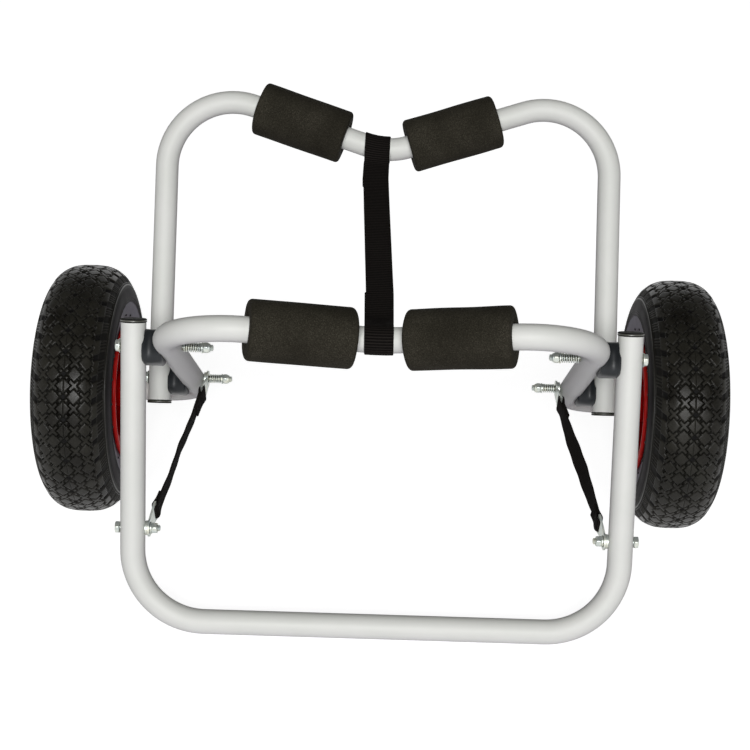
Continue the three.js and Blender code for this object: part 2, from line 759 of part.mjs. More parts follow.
// Joins the rings into one skin. A tread ring has two points for each pitch, and any other has one.
function ringSkin(rings) {
  const positions = [];
  const triangles = [];
  const starts = [];
  for (const { x, r, row } of rings) {
    starts.push(positions.length / 3);
    const count = row < 0 ? treadPitches : 2 * treadPitches;
    for (let k = 0; k < count; k++) {
      const low = row >= 0 && (k + row) % 2 === 0;
      const reach = low ? r - treadGroove : r;
      const angle = (2 * Math.PI * k) / count;
      positions.push(x, reach * Math.cos(angle), reach * Math.sin(angle));
    }
  }
  rings.forEach((ring, i) => {
    const next = (i + 1) % rings.length;
    const point = (of, k) => starts[of] + (k % (rings[of].row < 0 ? treadPitches : 2 * treadPitches));
    const here = (k) => point(i, k);
    const there = (k) => point(next, k);
    const fine = ring.row >= 0;
    const fineNext = rings[next].row >= 0;
    for (let k = 0; k < (fine && fineNext ? 2 * treadPitches : treadPitches); k++) {
      if (fine && !fineNext) {
        triangles.push(here(2 * k), here(2 * k + 1), there(k));
        triangles.push(here(2 * k + 1), there(k + 1), there(k));
        triangles.push(here(2 * k + 1), here(2 * k + 2), there(k + 1));
      } else if (!fine && fineNext) {
        triangles.push(here(k), here(k + 1), there(2 * k + 1));
        triangles.push(here(k), there(2 * k + 1), there(2 * k));
        triangles.push(here(k + 1), there(2 * k + 2), there(2 * k + 1));
      } else if (fine && (k + ring.row) % 2 === 0) {
        triangles.push(here(k), here(k + 1), there(k + 1), here(k), there(k + 1), there(k));
      } else {
        triangles.push(here(k), here(k + 1), there(k), here(k + 1), there(k + 1), there(k));
      }
    }
  });
  const geometry = new THREE.BufferGeometry();
  geometry.setAttribute('position', new THREE.Float32BufferAttribute(positions, 3));
  geometry.setIndex(triangles);
  geometry.computeVertexNormals();
  return geometry;
}

// The inflated tube, open only through its valve stem
function innerTube() {
  const room = (tyreHeight - treadThick) / 2;
  const across = tyreHalf - tyreWall - innerTubeSlack;
  const up = room - innerTubeSlack;
  const middle = beadRadius + room;
  const oval = (inset) => {
    const points = [];
    for (let i = 0; i <= innerTubeSides; i++) {
      const angle = (2 * Math.PI * i) / innerTubeSides;
      points.push([(across - inset) * Math.cos(angle), middle - (up - inset) * Math.sin(angle)]);
    }
    return turnedAlongX(points, innerTubeSegments);
  };
  const stem = valvePost(valveRadius, middle - up - valveLength, middle - up / 2);
  const bore = valvePost(valveBore, middle - up - valveLength - overrun, middle);
  return cut(join(oval(0), stem), oval(innerTubeWall), bore);
}

function valvePost(radius, from, to) {
  const post = new THREE.CylinderGeometry(radius, radius, to - from, boltSides);
  post.rotateX(Math.PI / 2);
  return post.translate(valveOut, 0, (from + to) / 2);
}

// One half of the rim: barrel and lip for the tyre, a web, and a hub boss round its bearing
function rimHalf() {
  const seat = beadRadius - seatGap;
  const lipInner = beadOuter + seatGap;
  const webHalf = 1.5 * rimWall;
  const outline = [
    [seatGap / 2, bearingRadius + seatGap], [seatGap / 2, seat], [lipInner, seat], [lipInner, rimLipRadius],
    [lipInner + rimWall, rimLipRadius], [lipInner + rimWall, seat - rimWall],
    [2 * webHalf, seat - rimWall], [webHalf, seat - 2 * rimWall], [webHalf, hubRadius + rimWall],
    [2 * webHalf, hubRadius], [hubHalf, hubRadius - rimWall / 2], [hubHalf, bearingRadius + seatGap],
    [seatGap / 2, bearingRadius + seatGap],
  ];
  return turnedAlongX(outline, rimSegments);
}

function bearing() {
  const axleBore = (axleRadius + seatGap) / Math.cos(Math.PI / bearingSegments);
  const outline = [
    [hubHalf - bearingWidth, axleBore], [hubHalf - bearingWidth, bearingRadius],
    [hubHalf + seatGap, bearingRadius], [hubHalf + seatGap, bearingFlange],
    [hubHalf + seatGap + flangeThick, bearingFlange], [hubHalf + seatGap + flangeThick, axleBore],
    [hubHalf - bearingWidth, axleBore],
  ];
  return turnedAlongX(outline, bearingSegments);
}

// The axle stub: a shank inside the tube, a collar on its end, and a spindle through the hub
const hubFace = hubHalf + seatGap + flangeThick + seatGap;
const axleNutAt = hubFace + axleWasherThick + seatGap;

function axleStub() {
  const tubeEnd = axleTubeEnd - wheelX;
  const shankRadius = boreRadius * Math.cos(Math.PI / boreSides) - seatGap;
  const shoulderRadius = (axleRadius + tubeRadius) / 2;
  const outline = [
    [tubeEnd - axleShankLength, 0], [tubeEnd - axleShankLength, shankRadius],
    [tubeEnd + seatGap, shankRadius], [tubeEnd + seatGap, tubeRadius],
    [tubeEnd + seatGap + axleCollar, tubeRadius], [tubeEnd + seatGap + axleCollar, shoulderRadius],
    [-hubFace, shoulderRadius], [-hubFace, axleRadius],
    [axleNutAt + axleNutHeight + boltTip, axleRadius], [axleNutAt + axleNutHeight + boltTip, 0],
  ];
  return turnedAlongX(outline, tubeSides);
}

function axleNut() {
  const body = hexAlongX(axleNutFlats, 0, axleNutHeight - axleNutCollar);
  const collar = barAlongX(axleNutCollarDiameter / 2, axleNutHeight / 2, axleNutHeight, tubeSides);
  const hole = barAlongX(axleRadius + seatGap, -overrun, axleNutHeight + overrun, tubeSides);
  return cut(join(body, collar), hole);
}

for (const [label, side] of sides) {
  const wheel = new THREE.Group();
  wheel.position.set(side * wheelX, 0, axleHeight);
  wheel.rotation.z = side < 0 ? Math.PI : 0;
  cart.add(wheel);
  const mirrored = (mesh) => {
    mesh.rotation.y = Math.PI;
    return mesh;
  };
  place(wheel, `tyre_${label}`, tyre(), blackRubber);
  place(wheel, `inner_tube_${label}`, innerTube(), greyRubber);
  const holeStart = beadRadius - seatGap - rimWall - overrun;
  const valveHole = valvePost(valveRadius + seatGap, holeStart, beadRadius + overrun);
  place(wheel, `rim_outer_${label}`, cut(rimHalf(), valveHole), redPaint);
  mirrored(place(wheel, `rim_inner_${label}`, rimHalf(), redPaint));
  place(wheel, `bearing_outer_${label}`, bearing(), zincSteel);
  mirrored(place(wheel, `bearing_inner_${label}`, bearing(), zincSteel));
  place(wheel, `axle_${label}`, axleStub(), zincSteel);
  const washerRing = ringAlongX(axleWasherRadius, axleRadius + seatGap, 0, axleWasherThick, tubeSides);
  place(wheel, `axle_washer_${label}`, washerRing, zincSteel, [hubFace, 0, 0]);
  place(wheel, `axle_nut_${label}`, axleNut(), zincSteel, [axleNutAt, 0, 0]);
}

// The origin is under the middle of the whole cart
const bounds = new THREE.Box3().setFromObject(cart, true);
cart.position.y = -(bounds.min.y + bounds.max.y) / 2;

export default cart;
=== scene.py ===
# A folding kayak cart dressed for its photograph: smooth tubes, foam sleeves, webbing, sprung bolts and
# pneumatic wheels, fitted over the CAD frame. Sizes are in millimetres here, and metres in Blender.
import json
import math

import numpy as np

import bpy
from mathutils import Matrix, Vector

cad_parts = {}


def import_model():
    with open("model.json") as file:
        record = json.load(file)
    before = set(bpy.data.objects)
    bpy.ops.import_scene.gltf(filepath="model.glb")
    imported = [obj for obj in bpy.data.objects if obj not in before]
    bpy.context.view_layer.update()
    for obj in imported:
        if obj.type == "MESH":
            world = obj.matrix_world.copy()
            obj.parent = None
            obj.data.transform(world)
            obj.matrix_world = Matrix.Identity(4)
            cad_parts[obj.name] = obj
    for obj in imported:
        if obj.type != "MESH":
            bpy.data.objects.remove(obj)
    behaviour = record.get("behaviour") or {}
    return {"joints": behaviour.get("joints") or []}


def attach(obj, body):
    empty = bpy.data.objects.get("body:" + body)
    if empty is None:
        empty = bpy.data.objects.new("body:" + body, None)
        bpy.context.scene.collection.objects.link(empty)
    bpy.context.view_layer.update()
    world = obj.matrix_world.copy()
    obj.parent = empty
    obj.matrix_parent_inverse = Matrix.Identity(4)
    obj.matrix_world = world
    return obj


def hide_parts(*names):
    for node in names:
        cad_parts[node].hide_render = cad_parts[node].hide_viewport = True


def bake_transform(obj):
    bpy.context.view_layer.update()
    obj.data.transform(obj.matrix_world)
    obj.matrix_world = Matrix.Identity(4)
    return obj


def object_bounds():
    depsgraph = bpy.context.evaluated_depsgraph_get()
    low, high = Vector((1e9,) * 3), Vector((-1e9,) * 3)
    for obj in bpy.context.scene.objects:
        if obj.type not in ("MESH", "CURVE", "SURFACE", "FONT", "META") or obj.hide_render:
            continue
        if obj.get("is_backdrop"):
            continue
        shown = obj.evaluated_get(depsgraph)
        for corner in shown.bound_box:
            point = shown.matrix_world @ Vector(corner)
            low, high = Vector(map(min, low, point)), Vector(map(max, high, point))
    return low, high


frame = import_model()
cad_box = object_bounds()
MM = 0.001
SIDES = (("left", -1), ("right", 1))


def joint(name):
    """Where a joint's axis meets the cart's middle plane, as [y, z], and how many degrees it turns."""
    row = next(row for row in frame["joints"] if row["name"] == name)
    return [place / MM for place in row["pos_m"][1:]], row.get("range_deg", (0, 360))[1]


# Sizes that the CAD model has. Slopes are in degrees. UP counts along the main frame's legs from the axle,
# and DOWN along the kickstand's from its hinge.
AXLE, _ = joint("wheel_right_spin")
STAND, STAND_FOLD = joint("kickstand_hinge")
CRADLE, CRADLE_FOLD = joint("cradle_hinge")
TUBE_R = 11.1
SADDLE_WEB = 9.8
MAIN_BEND = 60
ARM_BEND = 64.5
LOWER_BEND = 38
MAIN_X = 185.2
ARM_X = MAIN_X + 2 * TUBE_R + SADDLE_WEB
MAIN_SLOPE = 145.6
STAND_SLOPE = 74.0
CRADLE_SLOPE = 64.9
MAIN_LENGTH = 296.8
STAND_UP = MAIN_LENGTH - 79.6
CRADLE_UP = 69.8
GROUND_BAR_HEIGHT = TUBE_R * math.cos(math.pi / 16)  # the solids' tubes have sixteen sides
STAND_REACH = (STAND[1] - GROUND_BAR_HEIGHT) / math.sin(math.radians(STAND_SLOPE))
CRADLE_REACH = 272.9
STRAP_BOLT_DOWN = STAND_REACH - ARM_BEND - 20.3
AXLE_TUBE_END = MAIN_X + LOWER_BEND + 23
WHEEL_X = {"left": 299.0, "right": 295.0}  # the left wheel stands a little further out in the photograph
PAD_R = 26.0
PAD_HALF = 45.0
SEAT_GAP = 0.3


def plane(origin, slope):
    """Turns [x, up, out] in a bent frame's own plane into places in the CAD model's frame."""
    c, s = math.cos(math.radians(slope)), math.sin(math.radians(slope))

    def at(points):
        p = np.atleast_2d(np.asarray(points, float))
        out = p[:, 2] if p.shape[1] > 2 else np.zeros(len(p))
        return np.stack([p[:, 0], origin[0] + p[:, 1] * c - out * s, origin[1] + p[:, 1] * s + out * c], 1)

    return at


main_at = plane(AXLE, MAIN_SLOPE)
stand_at = plane(STAND, STAND_SLOPE)
cradle_at = plane(CRADLE, CRADLE_SLOPE)


def vee(angle, radius, reach, half):
    """A crossbar that dips in the middle: the slope of its halves, where its corners lie, and how far the
    middle bend rises over its corner."""
    slope = math.tan(math.radians(angle))
    rise = radius * (1 / math.cos(math.radians(angle)) - 1)
    bottom = reach - (half - radius) * slope + rise
    return {"angle": angle, "slope": slope, "rise": rise, "bottom": bottom, "top": bottom + half * slope}


FRONT_VEE = vee(14.5, MAIN_BEND, MAIN_LENGTH, MAIN_X)
REAR_VEE = vee(17.9, ARM_BEND, CRADLE_REACH, ARM_X)


# Materials
def material(name, color, rough, metallic=0.0, specular=0.5):
    mat = bpy.data.materials.new(name)
    mat.use_nodes = True
    looks = {"Base Color": (*color, 1), "Roughness": rough, "Metallic": metallic,
             "Specular IOR Level": specular}
    for key, value in looks.items():
        shader_of(mat).inputs[key].default_value = value
    return mat


def add(mat, kind, **inputs):
    """A new node of a material or of the world, with the given wires, inputs or settings."""
    node = mat.node_tree.nodes.new(kind)
    for key, value in inputs.items():
        if key not in node.inputs.keys():
            setattr(node, key, value)
        elif isinstance(value, bpy.types.NodeSocket):
            wire(mat, value, node.inputs[key])
        else:
            node.inputs[key].default_value = value
    return node


def wire(mat, a, b):
    mat.node_tree.links.new(a, b)


def shader_of(mat):
    return mat.node_tree.nodes["Principled BSDF"]


def object_coords(mat):
    return add(mat, "ShaderNodeTexCoord").outputs["Object"]


def noise(mat, coords, scale, detail=3.0, rough=0.55):
    node = add(mat, "ShaderNodeTexNoise", Scale=scale, Detail=detail, Roughness=rough, Vector=coords)
    return node.outputs["Fac"]


def ramp(mat, value, *stops):
    node = add(mat, "ShaderNodeValToRGB", Fac=value)
    elements = node.color_ramp.elements
    for i, (place, color) in enumerate(stops):
        element = elements[i] if i < 2 else elements.new(place)
        element.position = place
        element.color = (*color, 1)
    return node.outputs["Color"]


def span(mat, value, low, high, from_low=0.0, from_high=1.0):
    """Moves a value from one range to another."""
    limits = {"From Min": from_low, "From Max": from_high, "To Min": low, "To Max": high}
    return add(mat, "ShaderNodeMapRange", Value=value, **limits).outputs["Result"]


def math_node(mat, operation, *values):
    node = add(mat, "ShaderNodeMath", operation=operation)
    for socket, value in zip(node.inputs, values):
        if isinstance(value, (int, float)):
            socket.default_value = value
        else:
            wire(mat, value, socket)
    return node.outputs["Value"]


def weighted(mat, values, shares):
    """A weighted sum of two values."""
    parts = [math_node(mat, "MULTIPLY", value, share) for value, share in zip(values, shares)]
    return math_node(mat, "ADD", *parts)


def mixed_color(mat, share, low, high):
    """One colour where the share is 0 and the other where it is 1."""
    mix = add(mat, "ShaderNodeMix", data_type="RGBA", Factor=share)
    for socket, color in ((mix.inputs[6], low), (mix.inputs[7], high)):
        if isinstance(color, tuple):
            socket.default_value = (*color, 1)
        else:
            wire(mat, color, socket)
    return mix.outputs[2]


def bump(mat, height, strength, distance, below=None):
    node = add(mat, "ShaderNodeBump", Strength=strength, Distance=distance, Height=height)
    if below is not None:
        wire(mat, below, node.inputs["Normal"])
    wire(mat, node.outputs["Normal"], shader_of(mat).inputs["Normal"])
    return node.outputs["Normal"]


def surface(mat, color, rough=None):
    """Wires a material's colour and roughness."""
    wire(mat, color, shader_of(mat).inputs["Base Color"])
    if rough is not None:
        wire(mat, rough, shader_of(mat).inputs["Roughness"])


def speckled(mat, scale, stops, rough, depth=None, grain=None):
    """Colour, roughness and, with a depth, bump from one noise, and bump from a finer grain."""
    coords = object_coords(mat)
    value = noise(mat, coords, scale)
    surface(mat, ramp(mat, value, *stops), span(mat, value, *rough, 0.3, 0.7))
    if depth:
        bump(mat, value, *depth)
    if grain:
        bump(mat, noise(mat, coords, grain[0], 2), *grain[1:])
    return mat


def aluminium():
    mat = material("satin aluminium", (0.72, 0.725, 0.69), 0.48, metallic=0.03, specular=0.03)
    stops = ((0.35, (0.705, 0.715, 0.675)), (0.65, (0.735, 0.74, 0.705)))
    return speckled(mat, 26, stops, (0.44, 0.54), grain=(2600, 0.12, 0.0001))


def zinc():
    mat = material("bright zinc", (0.56, 0.6, 0.56), 0.4, metallic=0.75)
    stops = ((0.3, (0.46, 0.51, 0.50)), (0.55, (0.58, 0.61, 0.56)), (0.75, (0.62, 0.61, 0.50)))
    return speckled(mat, 190, stops, (0.32, 0.5), grain=(1500, 0.15, 0.0002))


def shank_shade_steel():
    """The bolts' shanks, painted dark as painted shade where the springs shade them."""
    mat = material("shank steel painted for shade", (0.13, 0.13, 0.10), 0.45, metallic=0.85)
    stops = ((0.3, (0.07, 0.07, 0.05)), (0.7, (0.19, 0.19, 0.15)))
    return speckled(mat, 240, stops, (0.38, 0.52), (0.15, 0.0002))


def plastic():
    mat = material("charcoal plastic", (0.014, 0.016, 0.018), 0.4, specular=0.26)
    stops = ((0.3, (0.011, 0.0126, 0.014)), (0.7, (0.020, 0.0225, 0.025)))
    return speckled(mat, 60, stops, (0.34, 0.46), grain=(1800, 0.25, 0.00015))


def cap_plastic():
    mat = material("cap plastic", (0.006, 0.006, 0.005), 0.6, specular=0.03)
    stops = ((0.3, (0.004, 0.004, 0.003)), (0.7, (0.009, 0.009, 0.007)))
    return speckled(mat, 90, stops, (0.55, 0.7), grain=(1400, 0.3, 0.0002))


def cap_band_reflection_paint():
    """The caps' polished rim, painted paler than their faces: a painted reflection of the pale room."""
    mat = material("cap band painted reflection", (0.07, 0.07, 0.058), 0.3)
    return speckled(mat, 80, ((0.3, (0.045, 0.046, 0.037)), (0.7, (0.10, 0.10, 0.085))), (0.26, 0.36))


def foam():
    mat = material("closed cell foam", (0.028, 0.0255, 0.0185), 0.9, specular=0.08)
    coords = object_coords(mat)
    cells = noise(mat, coords, 1100, 4, 0.7)
    broad = noise(mat, coords, 24, 2)
    stops = ((0.36, (0.011, 0.0096, 0.0065)), (0.52, (0.026, 0.0236, 0.0168)), (0.66, (0.060, 0.0545, 0.041)))
    surface(mat, ramp(mat, weighted(mat, (cells, broad), (0.75, 0.25)), *stops))
    pores = add(mat, "ShaderNodeTexVoronoi", Scale=620.0, Vector=coords)
    low = bump(mat, pores.outputs["Distance"], 0.35, 0.0005)
    bump(mat, cells, 0.5, 0.0004, low)
    return mat


# How far apart the webbing's warp threads lie
WARP_PITCH = 1.1


def webbing(rib, name):
    """Black webbing: ribs across the run, fine warp threads along it, and fuzz. UV is in millimetres."""
    mat = material(name, (0.004, 0.003, 0.003), 0.85, specular=0.04)
    uv = add(mat, "ShaderNodeUVMap", uv_map="run")
    parts = add(mat, "ShaderNodeSeparateXYZ", Vector=uv.outputs["UV"])
    ribs, warp = (math_node(mat, "SINE", math_node(mat, "MULTIPLY", parts.outputs[axis], 2 * math.pi / pitch))
                  for axis, pitch in (("X", rib), ("Y", WARP_PITCH)))
    weave = weighted(mat, (ribs, math_node(mat, "MULTIPLY", ribs, warp)), (0.6, 0.4))
    fuzz = noise(mat, object_coords(mat), 1900)
    height = math_node(mat, "ADD", weave, fuzz)
    # The colour follows the weave's height: darker in its troughs as painted shade and paler on its ribs as
    # painted highlight, with the fuzz adding random tone.
    stops = ((0.25, (0.0008, 0.0006, 0.0006)), (0.85, (0.021, 0.018, 0.016)))
    surface(mat, ramp(mat, span(mat, height, 0, 1, -0.8, 1.8), *stops))
    bump(mat, height, 0.6, 0.0004)
    return mat


def tread_rubber():
    """Dusty tread rubber. The mesh carries how deep each place lies in the pattern's grooves, painted dark as
    shade.
    """
    mat = material("tread rubber", (0.02, 0.02, 0.018), 0.34, specular=0.16)
    coords = object_coords(mat)
    depth = add(mat, "ShaderNodeAttribute", attribute_name="groove").outputs["Fac"]
    broad = noise(mat, coords, 30)
    fine = noise(mat, coords, 900)
    dust = weighted(mat, (broad, fine), (0.6, 0.4))
    top = ramp(mat, dust, (0.36, (0.0045, 0.0038, 0.0022)), (0.62, (0.022, 0.021, 0.0165)))
    matt = weighted(mat, (span(mat, broad, 0.27, 0.4, 0.3, 0.7), depth), (1.0, 0.4))
    # Deeper places are mixed toward near black: painted shade in the grooves.
    surface(mat, mixed_color(mat, depth, top, (0.0008, 0.0006, 0.0004)), matt)
    bump(mat, fine, 0.35, 0.0003)
    return mat


def wall_rubber():
    """Smooth rubber, with a pale ring by the rim that the mesh marks: a painted reflection of the bright
    floor.
    """
    mat = material("sidewall rubber", (0.013, 0.011, 0.012), 0.68, specular=0.12)
    coords = object_coords(mat)
    value = noise(mat, coords, 45)
    dark = ramp(mat, value, (0.3, (0.0085, 0.007, 0.008)), (0.7, (0.018, 0.0155, 0.017)))
    # The pale colour is a painted reflection of the floor, not the rubber's own colour.
    pale = ramp(mat, value, (0.3, (0.27, 0.26, 0.29)), (0.7, (0.38, 0.37, 0.405)))
    band = add(mat, "ShaderNodeAttribute", attribute_name="groove").outputs["Fac"]
    surface(mat, mixed_color(mat, band, dark, pale), span(mat, value, 0.62, 0.74, 0.3, 0.7))
    bump(mat, noise(mat, coords, 1300), 0.3, 0.0002)
    return mat


def red_paint():
    mat = material("red rim paint", (0.48, 0.0008, 0.0008), 0.5, specular=0.015)
    stops = ((0.3, (0.43, 0.0006, 0.0006)), (0.7, (0.53, 0.0012, 0.0011)))
    return speckled(mat, 30, stops, (0.45, 0.58), grain=(420, 0.08, 0.0003))


def lip_paint():
    # Paler and pinker than the dish's red: a faint painted highlight on the rolled lip.
    mat = material("rim lip", (0.50, 0.012, 0.010), 0.35, specular=0.10)
    return speckled(mat, 70, ((0.3, (0.45, 0.006, 0.005)), (0.7, (0.56, 0.022, 0.018))), (0.3, 0.42))


def valve_rubber():
    mat = material("valve rubber", (0.014, 0.014, 0.015), 0.6, specular=0.25)
    stops = ((0.3, (0.010, 0.010, 0.011)), (0.7, (0.022, 0.022, 0.023)))
    return speckled(mat, 120, stops, (0.5, 0.7), (0.2, 0.0002))


ALUMINIUM, ZINC, SHADED_SHANK = aluminium(), zinc(), shank_shade_steel()
PLASTIC, CAP, CAP_REFLECTION_PAINT, FOAM = plastic(), cap_plastic(), cap_band_reflection_paint(), foam()
TREAD, WALL, GREY = tread_rubber(), wall_rubber(), valve_rubber()
RED, LIP = red_paint(), lip_paint()
CENTRE_WEB, SIDE_WEB = webbing(2.4, "centre webbing"), webbing(1.7, "side webbing")


# Meshes
def linked(name, data):
    """A new object in the scene."""
    obj = bpy.data.objects.new(name, data)
    bpy.context.scene.collection.objects.link(obj)
    return obj


def piece(name, verts, faces, mat, body=None, slot=None, stands_for=(), sharp=38, uv=None, groove=None):
    """A mesh object from places in millimetres, in the CAD model's frame. Edges that turn by more than sharp
    degrees stay hard. uv places each point in the weave; groove gives painted shade by depth or a painted
    reflection ring."""
    mesh = bpy.data.meshes.new(name)
    mesh.from_pydata((np.asarray(verts, float) * MM).tolist(), [], [tuple(map(int, f)) for f in faces])
    mesh.materials.append(mat)
    if uv is not None:
        layer = mesh.uv_layers.new(name="run")
        loops = np.zeros(len(mesh.loops), np.int32)
        mesh.loops.foreach_get("vertex_index", loops)
        layer.data.foreach_set("uv", np.asarray(uv, np.float32)[loops].ravel())
    if groove is not None:
        values = mesh.attributes.new("groove", "FLOAT", "POINT").data
        values.foreach_set("value", groove.astype(np.float32))
    mesh.validate()
    mesh.shade_smooth()
    mesh.set_sharp_from_angle(angle=math.radians(sharp))
    obj = linked(name, mesh)
    if body:
        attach(obj, body)
    if stands_for:
        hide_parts(*stands_for)
    return obj


def quads(rows, columns, loop_rows=False):
    """Faces of a grid of points, counted row by row, each row a closed ring."""
    faces = []
    for i in range(rows if loop_rows else rows - 1):
        j = (i + 1) % rows
        for k in range(columns):
            m = (k + 1) % columns
            faces.append((i * columns + k, i * columns + m, j * columns + m, j * columns + k))
    return faces


def loft(rings, closed=False):
    """Verts and faces of a skin over rings of equal length, its ends filled unless it closes on itself."""
    n, m = len(rings), len(rings[0])
    faces = quads(n, m, closed)
    if not closed:
        faces.append(tuple(range(m))[::-1])
        faces.append(tuple(range((n - 1) * m, n * m)))
    return np.concatenate(rings), faces


def around(count):
    """Evenly spaced angles round a full turn."""
    return np.linspace(0, 2 * math.pi, count, endpoint=False)


def flipped(faces):
    return [tuple(reversed(face)) for face in faces]


def merge(*parts):
    """One part, as verts and faces, from several."""
    verts, faces, start = [], [], 0
    for v, f in parts:
        verts.append(v)
        faces += [tuple(i + start for i in face) for face in f]
        start += len(v)
    return np.concatenate(verts), faces


# How long the steps are that a tube's bend is drawn in
BEND_STEP = 4.0


def rounded(corners):
    """A flat route of corners [x, up, radius] with its bends drawn in small steps."""
    points = [corners[0][:2]]
    for before, here, after in zip(corners, corners[1:], corners[2:]):
        p = np.array(here[:2])
        a, b = (np.array(end[:2]) - p for end in (before, after))
        a, b = a / np.linalg.norm(a), b / np.linalg.norm(b)
        half = math.acos(np.clip(a @ b, -1, 1)) / 2
        radius = here[2]
        centre = p + (a + b) / np.linalg.norm(a + b) * radius / math.sin(half)
        start = p + a * radius / math.tan(half) - centre
        end = p + b * radius / math.tan(half) - centre
        turn = math.pi - 2 * half
        count = max(3, int(turn * radius / BEND_STEP))
        for k in np.linspace(0, 1, count + 1):
            swing = math.sin((1 - k) * turn) * start + math.sin(k * turn) * end
            points.append(centre + swing / math.sin(turn))
    points.append(corners[-1][:2])
    return np.array(points)


def tangents(points):
    d = np.gradient(points, axis=0)
    d[0], d[-1] = points[1] - points[0], points[-1] - points[-2]
    return d / np.linalg.norm(d, axis=1)[:, None]


def tube(route, at):
    """A frame's round tube along a flat route in its plane."""
    angles = around(32)
    across, out = TUBE_R * np.cos(angles), TUBE_R * np.sin(angles)
    rings = []
    for p, (tx, ty) in zip(route, tangents(route)):
        rings.append(at(np.stack([p[0] - ty * across, p[1] + tx * across, out], 1)))
    return loft(rings)


def turned(profile, segments, closed=False):
    """A profile of [along X, radius] turned about X."""
    angles = around(segments)
    rings = [np.stack([np.full(segments, x), r * np.cos(angles), r * np.sin(angles)], 1) for x, r in profile]
    return loft(rings, closed)


def hexagon(flats, start, end):
    """A six-sided head or nut along X, its corners turned off at both faces."""
    chamfer = 0.9
    angles = around(48)
    edge = (flats / 2) / np.cos((angles + math.pi / 6) % (math.pi / 3) - math.pi / 6)
    low, high = sorted((start, end))
    depths = (0, 0.3, 0.6, 1.0)
    places = [(low + d * chamfer, d) for d in depths] + [(high - d * chamfer, d) for d in depths[::-1]]
    rings = []
    for x, depth in places:
        limit = flats / 2 * 0.96 + depth * flats * 0.1
        r = np.minimum(edge, limit)
        rings.append(np.stack([np.full(48, x), r * np.cos(angles), r * np.sin(angles)], 1))
    return loft(rings)


def thread(radius, start, end, pitch=1.0):
    """A threaded end along X with a bevelled tip."""
    depth, tip_share = 0.32, 0.35
    steps = max(2, int(abs(end - start) / (pitch / 2)))
    profile = []
    for i, x in enumerate(np.linspace(start, end, steps + 1)):
        tip = tip_share if i == steps else 0.0
        profile.append((x, radius - (depth if i % 2 else 0.0) - tip * radius))
    return turned(profile, 24)


def moved(part, origin, side):
    """Puts a part made along X at a place, flipped for the left side."""
    v, f = part
    return v * (side, 1, 1) + origin, f if side > 0 else flipped(f)


def spin(v, a):
    """Turns places about X."""
    c, s = math.cos(a), math.sin(a)
    return np.stack([v[:, 0], v[:, 1] * c - v[:, 2] * s, v[:, 1] * s + v[:, 2] * c], 1)


def steel(node, form, part, origin, side, body, sharp=38):
    """A zinc-plated piece made along X that stands for a node."""
    piece(f"{node}_{form}", *moved(part, origin, side), ZINC, body, "zinc_steel", [node], sharp)


# Bent tubes, caps and pads
# How far the arms' tubes run on past their hinges
STAND_END = 20.8
CRADLE_END = 22.0


def symmetric(*right):
    """A route that is alike on both sides, from the corners of its right half, the middle one first."""
    left = [(-x, *rest) for x, *rest in right if x]
    return rounded([*left[::-1], *right])


def frame_tubes():
    main = symmetric((0, FRONT_VEE["bottom"], MAIN_BEND), (MAIN_X, FRONT_VEE["top"], MAIN_BEND),
                     (MAIN_X, 0, LOWER_BEND), (AXLE_TUBE_END, 0))
    piece("main_tube", *tube(main, main_at), ALUMINIUM, "main", "aluminium_tube", ["main_frame"])
    stand = symmetric((ARM_X, -STAND_REACH, ARM_BEND), (ARM_X, STAND_END))
    piece("kickstand_tube", *tube(stand, stand_at), ALUMINIUM, "kickstand", "aluminium_tube", ["kickstand"])
    rear = symmetric((0, REAR_VEE["bottom"], ARM_BEND), (ARM_X, REAR_VEE["top"], ARM_BEND),
                     (ARM_X, -CRADLE_END))
    piece("cradle_tube", *tube(rear, cradle_at), ALUMINIUM, "rear_cradle", "aluminium_tube", ["rear_cradle"])


def caps():
    """Push-in end caps: a rounded flange a little proud of the tube, with a paler band round it that is a
    painted reflection.
    """
    profile = [(-6, 9.2), (0.1, 9.2), (0.1, 11.2), (0.3, 11.6), (0.9, 11.75), (1.05, 11.65), (2.35, 11.65),
               (2.5, 11.75), (2.9, 11.6), (3.2, 11.0), (3.3, 9.5), (3.35, 8.0), (3.4, 0.4)]
    columns = 40
    v, f = turned(profile, columns)
    band = range(5 * columns, 6 * columns)
    for at, body, node, end, reach in ((stand_at, "kickstand", "kickstand_cap", 1, STAND_END),
                                       (cradle_at, "rear_cradle", "cradle_cap", -1, CRADLE_END)):
        for label, side in SIDES:
            local = np.stack([side * ARM_X + v[:, 1], end * (reach + v[:, 0]), v[:, 2]], 1)
            faces = f if end < 0 else flipped(f)
            cap_node = f"{node}_{label}"
            cap = piece(f"{cap_node}_round", at(local), faces, CAP, body, "black_plastic", [cap_node])
            # The band's faces take the paler material, a painted reflection on the flange's side.
            cap.data.materials.append(CAP_REFLECTION_PAINT)
            for index in band:
                cap.data.polygons[index].material_index = 1


# The radius of the pads' rims, and how far out from the middle each pad's centre lies
PAD_RIM = 3.6
FRONT_PAD_OUT = 66.8
REAR_LEFT_PAD_OUT = 84.9
REAR_RIGHT_PAD_OUT = 63.1


